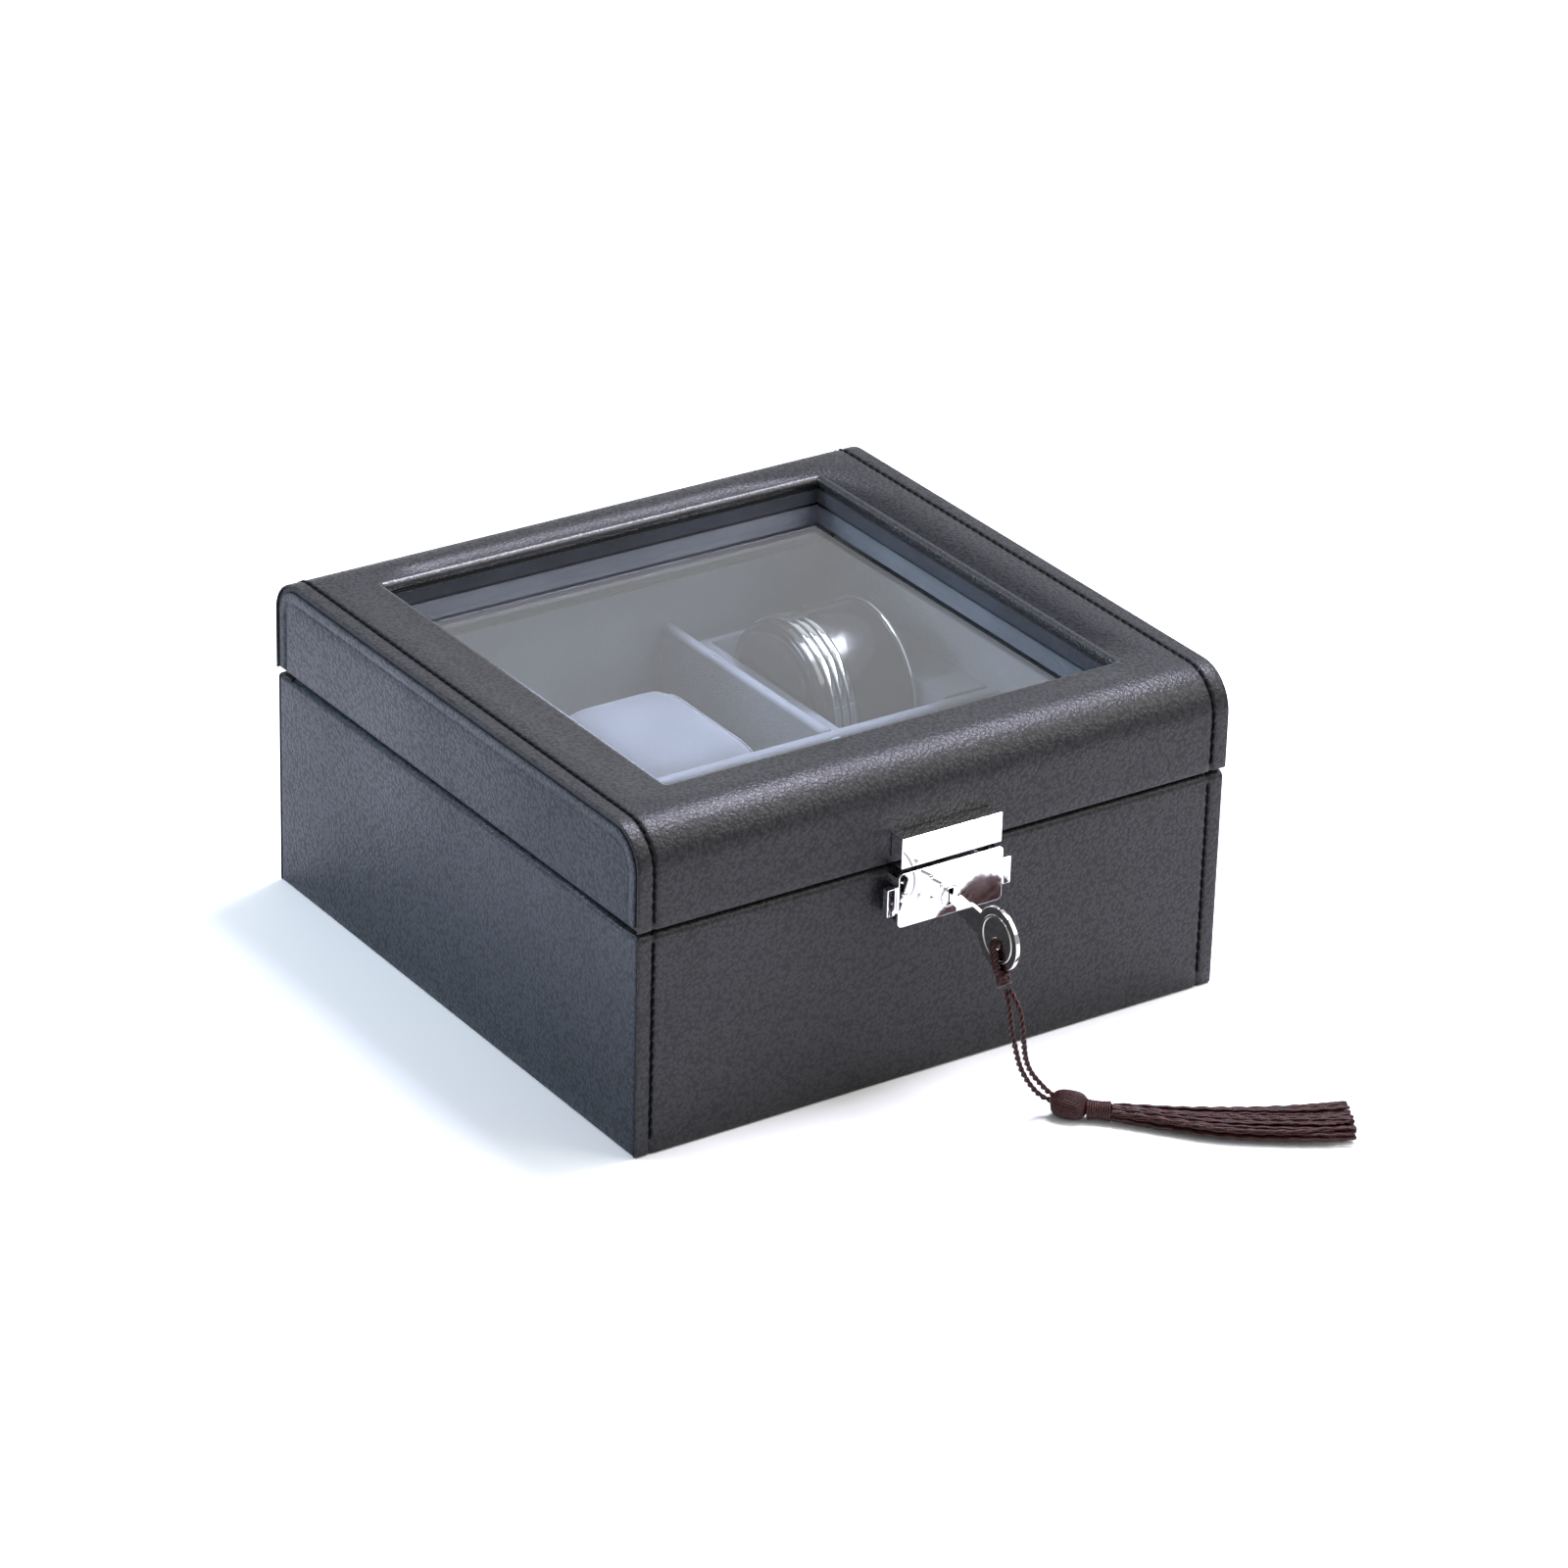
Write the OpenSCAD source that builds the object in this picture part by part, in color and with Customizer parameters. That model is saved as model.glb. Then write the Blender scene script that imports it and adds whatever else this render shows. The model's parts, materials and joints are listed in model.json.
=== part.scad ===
// Watch winder box: a leather-covered case with a hinged glass-topped lid,
// six bays (five with watch pillows, one with a motor-driven winding drum),
// a key lock on the front and a tassel on the key.
// The origin is the centre of the case's footprint, on the surface it stands on.
// +X is to the right, -Y is the front (the lock side) and +Z is up.

/* [Case] */
// Width of the lid over its leather
lid_w = 200; // [198:0.5:203]
// Depth of the lid over its leather
lid_d = 197.2; // [195:0.2:199]
// Width of the base over its leather
base_w = 199; // [197:0.5:200]
// Depth of the base over its leather
base_d = 196.4; // [194:0.2:198]
// Height of the base, up to its rim
base_h = 69; // [68:0.5:70]
// Gap between the closed lid and the base
seam_gap = 1.2; // [0.8:0.1:1.6]
// Height of the lid
lid_h = 29.8; // [29:0.1:31]

/* [Walls] */
// Thickness of the wall boards
board_t = 7; // [6:0.5:8]
// Thickness of the leather
leather_t = 0.8; // [0.6:0.1:1]
// Thickness of the velvet lining
lining_t = 0.7; // [0.5:0.1:0.9]
// Thickness of the bottom board
bottom_t = 4; // [3:0.5:5]
// Thickness of the felt under the case
felt_t = 1; // [0.8:0.1:1.2]

/* [Lid] */
// Radius of the lid's top front edge
front_r = 13; // [10:0.5:14]
// Radius of the lid's top back edge
back_r = 11; // [10:0.5:12]
// Width of the window opening
window_w = 152; // [148:1:154]
// Depth of the window opening
window_d = 151; // [147:1:152]
// How far the window lies behind the lid's centre
window_y = 1; // [0:0.5:2]
// Thickness of the lid's top board
top_t = 8; // [7:0.5:9]
// Thickness of the glass
glass_t = 3; // [2:0.5:4]
// Height of the frame that holds the glass
retainer_h = 6; // [5:0.5:7]

/* [Bays] */
// Thickness of the bay dividers
divider_t = 4; // [3:0.5:5]
// Height of the dividers' top edge above the table
divider_top = 55; // [52:1:57]
// Distance between the bay centres, across the case
bay_pitch = 61; // [60:0.5:62]
// Where the back row of bays begins
row_y = 0.5; // [-2:0.5:2]
// Width, depth and height of a watch pillow
pillow_size = [50, 64, 42];

/* [Winder] */
// Radius of the winding drum
drum_r = 26; // [24:0.5:27]
// Length of the winding drum
drum_len = 32; // [28:1:33]
// Centre of the winding drum
drum_pos = [58, 44, 43];
// Teeth on the drum's gear
gear_teeth = 30; // [30]
// Teeth on the motor's pinion
pinion_teeth = 12; // [12]
// Gear module, the pitch diameter for each tooth
gear_module = 0.5; // [0.5]

/* [Lock] */
// Height of the keyhole above the table
keyhole_z = 58; // [57:0.5:59]
// Width of the front lock plate
lock_w = 35.4; // [34:0.2:37]
// Width of the keeper on the lid
keeper_w = 34; // [32:0.5:36]
// How far the lock stands out from the leather
lock_out = 6; // [6]
// Travel of the side catch
catch_travel = 1.5; // [1:0.1:1.5]
// How far the key hangs down in the lock, in degrees
key_droop = 7; // [4:0.5:7]
// Radius of the key's bow
bow_r = 9.3; // [8:0.1:10]

/* [Tassel] */
// Thickness of one strand of the tassel's cord
strand_d = 1.6; // [1.2:0.1:2]
// Width of the tassel's skirt at its end
skirt_w = 18; // [14:1:20]
// Thickness of the tassel's skirt as it lies
skirt_h = 6; // [5:0.5:7]

/* [Hidden] */
$fn = 48;

// Half sizes of the base, from the leather inwards
base_x = base_w / 2;
base_y = base_d / 2;
base_board_x = base_x - leather_t;
base_board_y = base_y - leather_t;
base_in_x = base_board_x - board_t;
base_in_y = base_board_y - board_t;
bay_x = base_in_x - lining_t;
bay_y = base_in_y - lining_t;
rim_z = base_h - leather_t;
skin_z = 0.2;
floor_z = felt_t + bottom_t;
bay_z = floor_z + lining_t;

// Half sizes and levels of the lid
lid_x = lid_w / 2;
lid_y = lid_d / 2;
lid_z = base_h + seam_gap;
top_z = lid_z + lid_h;
lid_board_x = lid_x - leather_t;
lid_board_y = lid_y - leather_t;
lid_in_x = lid_board_x - board_t;
lid_in_y = lid_board_y - board_t;
lid_board_z = lid_z + leather_t;
glass_z = top_z - leather_t - top_t;
retainer_z = glass_z - glass_t - retainer_h;
edging_t = 0.8;
bead_r = 1.5;
frame_cut = bead_r;
rail_depth = 14;

// Clearances
gap = 0.1;
running = 0.05;
screw_gap = 0.05;

// Hinges
hinge_xs = [-55, 55];
hinge_l = 30;
hinge_y = lid_y + 2.6;
hinge_z = base_h + seam_gap / 2;
knuckle_r = 2.2;
knuckle_l = 10;
hinge_pin_r = 1;
leaf_t = 1;
leaf_h = 15;
leaf_screw_dx = 9;
leaf_screw_dz = 10;
leaf_screw_r = 1;

// Lock
lock_y = -base_y - lock_out;
lock_z0 = 52.4;
lock_z1 = base_h + 0.2;
plate_t = 1.1;
plug_r = 3.1;
hub_r = 3.3;
stub_r = 3;
tab_x = 21;
tab_z0 = 56.4;
tab_z1 = 64.8;
catch_y = lock_y + plate_t + 0.1;
catch_t = 1;
case_y = -base_y - gap / 2;
case_front = catch_y + catch_t + 0.2;
case_x = 15.4;
case_z0 = 53.6;
case_z1 = 68.4;
wall = 1;
cam_y = case_front + 0.6;
cam_t = 1.6;
cam_r = 9;
hook_r = 6.5;
lock_screw_x = 12.6;
lock_screw_z = 61;
lock_screw_r = 0.9;
keeper_y = -lid_y - gap / 2;
keeper_z0 = lid_z + 0.4;
keeper_z1 = 79.8;
keeper_screw_x = 9;
keeper_screw_z = 75;
keeper_screw_r = 1;
key_hole_r = 3.7;
key_hole_depth = 5;
key_t = 1.3;
bow_y = -23.5;

// Winder module, its walls and its gears
well_x = [drum_pos[0] - drum_len / 2 - 1.5, drum_pos[0] + drum_len / 2 + 1.5];
module_x = [well_x[0] - 3, bay_x - 0.2];
module_y = [6, 82];
module_z = [bay_z + 0.1, 50];
plate_h = 1.5;
module_wall = 2.5;
drive_x = [well_x[1] + 2, module_x[1] - 1.5];
shaft_r = 2;
bush_r = 3.5;
gear_x = drive_x[0] + 1.2;
gear_w = 3.5;
pressure_angle = 25;
gear_pitch_r = gear_module * gear_teeth / 2;
pinion_pitch_r = gear_module * pinion_teeth / 2;
centre_distance = gear_pitch_r + pinion_pitch_r;
pinion_angle = -110;
pinion_pos = [
    drum_pos[1] + centre_distance * cos(pinion_angle),
    drum_pos[2] + centre_distance * sin(pinion_angle)
];
motor_plate_x = gear_x + gear_w + 0.5;
motor_plate_t = 1;
motor_x = motor_plate_x + motor_plate_t;
motor_r = 8;
motor_w = 5;
motor_shaft_r = 1;
board_x = motor_x - 0.4;
board_y = [54, 76];
board_z = [11, 40];
lead_r = 0.9;

// Socket and switch in the back wall
socket_x = 84;
socket_z = 16;
socket_r = 5;
switch_x = 68;
switch_z = 28;
switch_slot = [11, 6];
switch_travel = 6;

// Route of the key's cord: from the knot down to the table, through the tassel
cord_left_route = [
    [0.6, -131.2, 40.6], [1, -132.7, 35], [1.8, -133, 28.7], [3, -133.6, 22.5],
    [4.6, -133.8, 16.7], [6.8, -134.2, 12], [9.4, -134.8, 8], [12, -135.6, 5.4],
    [14.6, -137.4, 4.2], [17.3, -140.8, 3.9], [20.8, -144.8, 3.5], [25.6, -149, 3.2],
    [32, -155, 3.1], [39.6, -162, 3.1], [49.8, -170.2, 3.1], [58, -175.8, 3.1]
];
cord_right_route = [
    [1.4, -132.1, 40.8], [1.8, -135.8, 37], [2.4, -137, 32], [3.6, -136.6, 25.3],
    [5, -136, 19.6], [7, -135.9, 15], [9.8, -136.4, 11], [12.6, -137.2, 7.6],
    [15, -138.4, 5.8], [17.3, -140.8, 5.7], [20.8, -144.8, 5.3], [25.6, -149, 4.9],
    [32, -155, 4.8], [39.6, -162, 4.8], [49.8, -170.2, 4.8], [58, -175.8, 4.8]
];
skirt_route = [
    [26.1, -149.4, 3.2], [32, -155, 3.1], [39.6, -162, 3.1], [49.8, -170.2, 3.1],
    [65.8, -180.6, 3.1], [80.4, -188.2, 3.1]
];
skirt_widths = [5.4, 7.5, 10.5, 14, 16.5, 18];
tassel_dir = -50;
head_pos = [17.3, -140.8, 4];
neck_pos = [20.7, -144.6, 3.3];
neck_dir = -41;

leather_colour = "#4B4D52";
side_colour = "#46505C";
board_colour = "#B49A74";
velvet_colour = "#9DA3AA";
suede_colour = "#3B3F48";
chrome_colour = "#E8E8EA";
steel_colour = "#A9ACB0";
brass_colour = "#B8954A";
cord_colour = "#4A2722";
gloss_colour = "#1B1B1E";
glass_colour = [0.75, 0.8, 0.84, 0.35];

// Turns an outline drawn in Y and Z into a slab along +X
module along_x(length) rotate([90, 0, 90]) linear_extrude(length) children();

// Turns an outline drawn in X and Z into a slab along -Y
module along_y(length) rotate([90, 0, 0]) linear_extrude(length) children();

// A box from its lowest to its highest corner
module block(low, high) translate(low) cube(high - low);

// A rod along Y from y0 to y1 at X and Z
module rod_y(x, z, y0, y1, r) translate([x, y0, z]) rotate([-90, 0, 0]) cylinder(y1 - y0, r, r);

// A rod along X from x0 to x1 at Y and Z
module rod_x(x0, x1, y, z, r) translate([x0, y, z]) rotate([0, 90, 0]) cylinder(x1 - x0, r, r);

// A countersunk-headed screw along Y: the head at y0, the shank into the board
module screw_y(x, z, y0, dir, r, length) {
    head = 1;
    rod_y(x, z, min(y0, y0 + dir * head), max(y0, y0 + dir * head), 2 * r);
    rod_y(x, z, min(y0 + dir * head, y0 + dir * length), max(y0 + dir * head, y0 + dir * length), r);
}

// The holes for the screws and pieces that go through the base's front and back walls
module base_wall_holes() {
    for (side = [-1, 1])
        rod_y(side * lock_screw_x, lock_screw_z, -base_y - 1, -base_y + 6.2, lock_screw_r + screw_gap);
    rod_y(0, keyhole_z, -base_y - 1, -base_y + key_hole_depth, key_hole_r);
    for (x = hinge_xs, dx = [-leaf_screw_dx, leaf_screw_dx])
        rod_y(x + dx, hinge_z - leaf_screw_dz, base_y - 6.2, base_y + 1, leaf_screw_r + screw_gap);
    rod_y(socket_x, socket_z, bay_y - 1, base_y + 1, socket_r + screw_gap);
    block([switch_x - switch_slot[0] / 2 - gap, bay_y - 1, switch_z - switch_slot[1] / 2 - gap],
          [switch_x + switch_slot[0] / 2 + gap, base_y + 1, switch_z + switch_slot[1] / 2 + gap]);
}

// The holes for the screws that go through the lid's front and back walls
module lid_wall_holes() {
    for (side = [-1, 1])
        rod_y(side * keeper_screw_x, keeper_screw_z, -lid_y - 1, -lid_y + 6.2, keeper_screw_r + screw_gap);
    for (x = hinge_xs, dx = [-leaf_screw_dx, leaf_screw_dx])
        rod_y(x + dx, hinge_z + leaf_screw_dz, lid_y - 6.2, lid_y + 1, leaf_screw_r + screw_gap);
}

module base_felt() color("#2A2C30")
    block([-base_x + 1.2, -base_y + 1.2, 0], [base_x - 1.2, base_y - 1.2, felt_t]);

module base_bottom_board() color(board_colour)
    block([-base_in_x, -base_in_y, felt_t], [base_in_x, base_in_y, floor_z]);

module base_cross_board(side) color(board_colour) difference() {
    y0 = side > 0 ? base_in_y : -base_board_y;
    block([-base_in_x, y0, felt_t], [base_in_x, y0 + board_t, rim_z]);
    base_wall_holes();
}

module base_side_board(side) color(board_colour) {
    x0 = side > 0 ? base_in_x : -base_board_x;
    block([x0, -base_board_y, felt_t], [x0 + board_t, base_board_y, rim_z]);
}

// Section of a base skin: up the outside of a board and over its rim
module rim_section(reach) {
    edge_r = 2;
    difference() {
        union() {
            translate([0, skin_z]) square([reach, base_h - edge_r - skin_z]);
            translate([edge_r, base_h - edge_r]) square([reach - edge_r, edge_r]);
            translate([edge_r, base_h - edge_r]) circle(edge_r);
        }
        translate([leather_t, skin_z - 1]) square([reach, rim_z - skin_z + 1]);
    }
}

module base_leather_wraps() color(leather_colour) difference() {
    reach = leather_t + board_t;
    union() {
        translate([-base_x, -base_y, 0]) along_x(base_w) rim_section(reach);
        translate([-base_x, base_y, 0]) mirror([0, 1, 0]) along_x(base_w) rim_section(reach);
    }
    base_wall_holes();
}

module base_leather_sides() color(side_colour) for (side = [0, 1]) mirror([side, 0, 0])
    translate([-base_x, base_in_y, 0]) along_y(2 * base_in_y) rim_section(leather_t + board_t);

module base_lining() color(velvet_colour) difference() {
    block([-base_in_x, -base_in_y, floor_z], [base_in_x, base_in_y, rim_z]);
    block([-bay_x, -bay_y, bay_z], [bay_x, bay_y, rim_z + 1]);
    base_wall_holes();
}

divider_mid = (bay_z + divider_top) / 2;

// A divider that runs from the front to the back, slotted from the top for the cross divider
module long_divider(x) color(velvet_colour) difference() {
    half_t = divider_t / 2;
    block([x - half_t, -bay_y + gap, bay_z], [x + half_t, bay_y - gap, divider_top]);
    block([x - half_t - 1, row_y - half_t - gap, divider_mid - gap],
          [x + half_t + 1, row_y + half_t + gap, divider_top + 1]);
}

module divider_cross() color(velvet_colour) difference() {
    half_t = divider_t / 2;
    block([-bay_x + gap, row_y - half_t, bay_z], [bay_x - gap, row_y + half_t, divider_top]);
    for (side = [-1, 1]) translate([side * bay_pitch / 2, 0, 0])
        block([-half_t - gap, row_y - half_t - 1, bay_z - 1],
              [half_t + gap, row_y + half_t + 1, divider_mid + gap]);
}

front_row = (row_y - divider_t / 2 - bay_y) / 2;
back_row = (row_y + divider_t / 2 + bay_y) / 2;

// A watch pillow, centred in its bay: column -1 to 1, row -1 (front) or 1 (back)
module watch_pillow(column, row) color(velvet_colour) {
    corner = 8;
    low = [
        column * bay_pitch - pillow_size[0] / 2,
        (row < 0 ? front_row : back_row) - pillow_size[1] / 2,
        bay_z + 0.3
    ];
    hull() for (x = [corner, pillow_size[0] - corner], y = [corner, pillow_size[1] - corner],
                z = [corner, pillow_size[2] - corner])
        translate(low + [x, y, z]) sphere(corner, $fn = 24);
}

// The lid seen from its side, a set distance in from the leather's surface
module lid_outline(inset, bottom) {
    yf = -lid_y + inset;
    yb = lid_y - inset;
    zt = top_z - inset;
    rf = front_r - inset;
    rb = back_r - inset;
    translate([yf + rf, bottom]) square([yb - rb - yf - rf, zt - bottom]);
    translate([yf, bottom]) square([yb - yf, zt - max(rf, rb) - bottom]);
    translate([yf + rf, zt - rf]) circle(rf);
    translate([yb - rb, bottom]) square([rb, zt - rb - bottom]);
    translate([yb - rb, zt - rb]) circle(rb);
}

module lid_side_board(x0) color(board_colour)
    translate([x0, 0, 0]) along_x(board_t) lid_outline(leather_t, lid_board_z);

// The L-shaped rail along the lid's front (side -1) or back (side 1)
module lid_cross_board(side) color(board_colour) difference() {
    translate([-lid_in_x, 0, 0]) along_x(2 * lid_in_x) intersection() {
        difference() {
            lid_outline(leather_t, lid_board_z);
            translate([-lid_in_y, lid_board_z - 1])
                square([2 * lid_in_y, glass_z - lid_board_z + 1]);
        }
        translate([side > 0 ? lid_board_y - rail_depth : -lid_board_y, lid_z])
            square([rail_depth, lid_h]);
    }
    lid_wall_holes();
}

// The window's opening, grown by a set amount, between two heights
module window_opening(grow, z0, z1)
    block([-window_w / 2 - grow, window_y - window_d / 2 - grow, z0],
          [window_w / 2 + grow, window_y + window_d / 2 + grow, z1]);

module lid_top_board() color(board_colour) difference() {
    reach = lid_board_y - rail_depth;
    block([-lid_in_x, -reach, glass_z], [lid_in_x, reach, top_z - leather_t]);
    window_opening(frame_cut, glass_z - 1, top_z);
}

module lid_leather_wrap() color(leather_colour) difference() {
    translate([-lid_x, 0, 0]) along_x(lid_w) difference() {
        lid_outline(0, lid_z);
        lid_outline(leather_t, lid_board_z);
    }
    block([-lid_in_x, -lid_in_y, lid_z - 1], [lid_in_x, lid_in_y, lid_board_z + 1]);
    window_opening(0, top_z - 2 * leather_t, top_z + 1);
    lid_wall_holes();
}

module lid_leather_sides() color(side_colour) {
    groove = 0.5;
    for (x0 = [-lid_x + gap, lid_board_x]) translate([x0, 0, 0])
        along_x(leather_t - gap) lid_outline(leather_t + groove, lid_board_z + groove);
}

module lid_lining() color(velvet_colour) difference() {
    block([-lid_in_x, -lid_in_y, lid_board_z], [lid_in_x, lid_in_y, retainer_z]);
    block([-lid_in_x + lining_t, -lid_in_y + lining_t, lid_board_z - 1],
          [lid_in_x - lining_t, lid_in_y - lining_t, retainer_z + 1]);
}

// The half-round leather bead around the window opening
module window_bead() color(leather_colour) intersection() {
    z = top_z - leather_t - bead_r;
    x = window_w / 2 + bead_r;
    y = window_d / 2 + bead_r;
    window_opening(bead_r, z - bead_r, z + bead_r);
    union() {
        for (side = [-1, 1]) {
            rod_y(side * x, z, window_y - y, window_y + y, bead_r);
            rod_x(-x, x, window_y + side * y, z, bead_r);
        }
    }
}

module window_edging() color(suede_colour) difference() {
    height = 4;
    window_opening(frame_cut, glass_z + gap / 2, glass_z + height);
    window_opening(frame_cut - edging_t, glass_z - 1, glass_z + height + 1);
}

glass_grow = 6;

module window_glass() color(glass_colour) window_opening(glass_grow, glass_z - glass_t, glass_z);

module glass_retainer() color(suede_colour) difference() {
    block([-lid_in_x, -lid_in_y, retainer_z], [lid_in_x, lid_in_y, glass_z]);
    window_opening(glass_grow + gap, glass_z - glass_t, glass_z + 1);
    window_opening(1, retainer_z - 1, glass_z + 1);
}

// The knuckles of one hinge: the base has the outer two, the lid the middle one
module knuckle(x0, x1) rod_x(x0, x1, hinge_y, hinge_z, knuckle_r);

module hinge_base_leaves() color(brass_colour) for (x = hinge_xs) difference() {
    top = hinge_z - knuckle_r - 0.4;
    near = base_y + gap / 2;
    reach = hinge_l / 2;
    union() {
        block([x - reach, near, hinge_z - leaf_h], [x + reach, near + leaf_t, top]);
        for (side = [-1, 1]) {
            inner = side * (knuckle_l / 2 + 0.2);
            a = min(x + inner, x + side * reach);
            b = max(x + inner, x + side * reach);
            block([a, near, top - 1], [b, near + leaf_t, base_h - 0.6]);
            block([a, near, base_h - 1.6], [b, hinge_y, base_h - 0.6]);
            knuckle(a, b);
        }
    }
    rod_x(x - reach - 1, x + reach + 1, hinge_y, hinge_z, hinge_pin_r);
    for (dx = [-leaf_screw_dx, leaf_screw_dx])
        rod_y(x + dx, hinge_z - leaf_screw_dz, near - 1, near + 2, leaf_screw_r + screw_gap);
}

module hinge_lid_leaves() color(brass_colour) for (x = hinge_xs) difference() {
    bottom = hinge_z + knuckle_r + 0.4;
    near = lid_y + gap / 2;
    reach = hinge_l / 2;
    half = knuckle_l / 2;
    union() {
        block([x - reach, near, bottom], [x + reach, near + leaf_t, hinge_z + leaf_h]);
        block([x - half, near, hinge_z], [x + half, near + leaf_t, bottom + 1]);
        knuckle(x - half, x + half);
    }
    rod_x(x - reach - 1, x + reach + 1, hinge_y, hinge_z, hinge_pin_r + running);
    for (dx = [-leaf_screw_dx, leaf_screw_dx])
        rod_y(x + dx, hinge_z + leaf_screw_dz, near - 1, near + 2, leaf_screw_r + screw_gap);
}

module hinge_pins() color(brass_colour) for (x = hinge_xs)
    rod_x(x - hinge_l / 2 - 0.5, x + hinge_l / 2 + 0.5, hinge_y, hinge_z, hinge_pin_r);

module hinge_screws(wall_y, dz) color(brass_colour)
    for (x = hinge_xs, dx = [-leaf_screw_dx, leaf_screw_dx])
        screw_y(x + dx, hinge_z + dz, wall_y + leaf_t + gap / 2 + 1, -1, leaf_screw_r, 8);

// A rectangle with rounded corners, drawn in X and Z
module rounded_plate(x, z0, z1, r) {
    translate([-x + r, z0]) square([2 * (x - r), z1 - z0]);
    translate([-x, z0 + r]) square([2 * x, z1 - z0 - 2 * r]);
    for (cx = [-x + r, x - r], cz = [z0 + r, z1 - r]) translate([cx, cz]) circle(r);
}

module lock_plate() color(chrome_colour) {
    corner = 1.5;
    lug_t = 1.2;
    ledge = 1;
    half = lock_w / 2;
    difference() {
        translate([0, lock_y + plate_t, 0]) along_y(plate_t)
            rounded_plate(half, lock_z0, lock_z1, corner);
        rod_y(0, keyhole_z, lock_y - 1, lock_y + plate_t + 1, plug_r + running);
    }
    for (side = [-1, 1], z = [[lock_z0 + corner, tab_z0 - catch_travel - 0.3],
                              [tab_z1 + 0.3, lock_z1 - corner]]) {
        a = min(side * (half - lug_t), side * half);
        block([a, lock_y + plate_t - 0.1, z[0]], [a + lug_t, case_y, z[1]]);
    }
    block([-half + corner, lock_y + plate_t - 0.1, lock_z0], [half - corner, case_y, lock_z0 + ledge]);
}

module lock_case() color(steel_colour) difference() {
    block([-case_x, case_front, case_z0], [case_x, case_y, case_z1]);
    block([-case_x + wall, case_front - 1, case_z0 + wall], [case_x - wall, case_y - wall, case_z1 + 1]);
    rod_y(0, keyhole_z, case_y - wall - 1, case_y + 1, stub_r + running);
    for (side = [-1, 1])
        rod_y(side * lock_screw_x, lock_screw_z, case_y - wall - 1, case_y + 1, lock_screw_r + screw_gap);
}

module lock_catch() color(chrome_colour) difference() {
    grip = 2.6;
    hole_r = plug_r + 0.3;
    union() {
        block([-tab_x, catch_y, tab_z0], [tab_x, catch_y + catch_t, tab_z1]);
        for (side = [-1, 1]) {
            a = min(side * (tab_x - grip), side * tab_x);
            block([a, catch_y - 0.6, tab_z0], [a + grip, catch_y + catch_t + 0.8, tab_z1]);
        }
    }
    for (z = [keyhole_z, keyhole_z + catch_travel]) rod_y(0, z, catch_y - 1, catch_y + catch_t + 1, hole_r);
    block([-hole_r, catch_y - 1, keyhole_z], [hole_r, catch_y + catch_t + 1, keyhole_z + catch_travel]);
}

// A bowed leaf spring under the catch: its middle rests on the plate's lower ledge
module catch_spring() color(steel_colour) {
    half = 11;
    rise = tab_z0 - lock_z0 - 1.2;
    r = (half * half + rise * rise) / (2 * rise);
    thick = 0.4;
    translate([0, catch_y + catch_t - 0.1, 0]) along_y(catch_t - 0.2) intersection() {
        translate([0, lock_z0 + 1.05 + r]) difference() {
            circle(r, $fn = 180);
            circle(r - thick, $fn = 180);
        }
        translate([-half, lock_z0 + 1]) square([2 * half, rise + 0.05]);
    }
}

// A pie slice between two angles, large enough to cut the cam
module slice(a0, a1) {
    far = 2 * cam_r;
    polygon([[0, 0], far * [cos(a0), sin(a0)], far * [cos((a0 + a1) / 2), sin((a0 + a1) / 2)],
             far * [cos(a1), sin(a1)]]);
}

// The turning plug with its keyway, and the hooked cam that holds the keeper's tongue
module lock_plug() color(steel_colour) difference() {
    keyway = [1.7, 5.1];
    union() {
        rod_y(0, keyhole_z, lock_y - 0.3, cam_y + 0.1, plug_r);
        translate([0, cam_y + cam_t, keyhole_z]) along_y(cam_t) {
            circle(hub_r);
            intersection() {
                circle(cam_r);
                slice(-20, -5);
            }
            intersection() {
                difference() {
                    circle(cam_r);
                    circle(hook_r);
                }
                slice(-6, 15);
            }
        }
        rod_y(0, keyhole_z, cam_y + cam_t - 0.1, case_y - 0.1, stub_r);
    }
    block([-keyway[0] / 2, lock_y - 1, keyhole_z - keyway[1] / 2],
          [keyway[0] / 2, case_y + 1, keyhole_z + keyway[1] / 2]);
}

module lock_screws() color(steel_colour) for (side = [-1, 1])
    screw_y(side * lock_screw_x, lock_screw_z, case_y - wall - 1, 1, lock_screw_r, 7.5);

module keeper_cover() color(chrome_colour) difference() {
    half = keeper_w / 2;
    shell = 1.2;
    block([-half, lock_y, keeper_z0], [half, keeper_y, keeper_z1]);
    block([-half + shell, lock_y + shell, keeper_z0 - 1], [half - shell, keeper_y + 1, keeper_z1 - shell]);
}

// The plate behind the cover, and the hooked tongue that hangs into the lock
module keeper_tongue() color(steel_colour) {
    half = 4.2;
    stem = -2.8;
    lip_end = -0.5;
    swing = cam_r + 0.7;
    lip_r = hook_r - 0.6;
    low = keyhole_z + 4.9;
    mount_z = keeper_z0 + 0.8;
    translate([0, cam_y + cam_t, 0]) along_y(cam_t) difference() {
        translate([-half, low]) square([2 * half, mount_z + 1 - low]);
        intersection() {
            translate([0, keyhole_z]) circle(swing);
            translate([lip_end, low - 1]) square([half, 20]);
        }
        intersection() {
            translate([0, keyhole_z]) difference() {
                circle(swing);
                circle(lip_r);
            }
            translate([stem, low - 1]) square([2 * half, 20]);
        }
    }
    difference() {
        block([-12, cam_y, mount_z], [12, keeper_y, keeper_z1 - 1.6]);
        for (side = [-1, 1])
            rod_y(side * keeper_screw_x, keeper_screw_z, cam_y - 1, keeper_y + 1, keeper_screw_r + screw_gap);
    }
}

module keeper_screws() color(steel_colour) for (side = [-1, 1])
    screw_y(side * keeper_screw_x, keeper_screw_z, cam_y - 1, 1, keeper_screw_r, 9);

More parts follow.
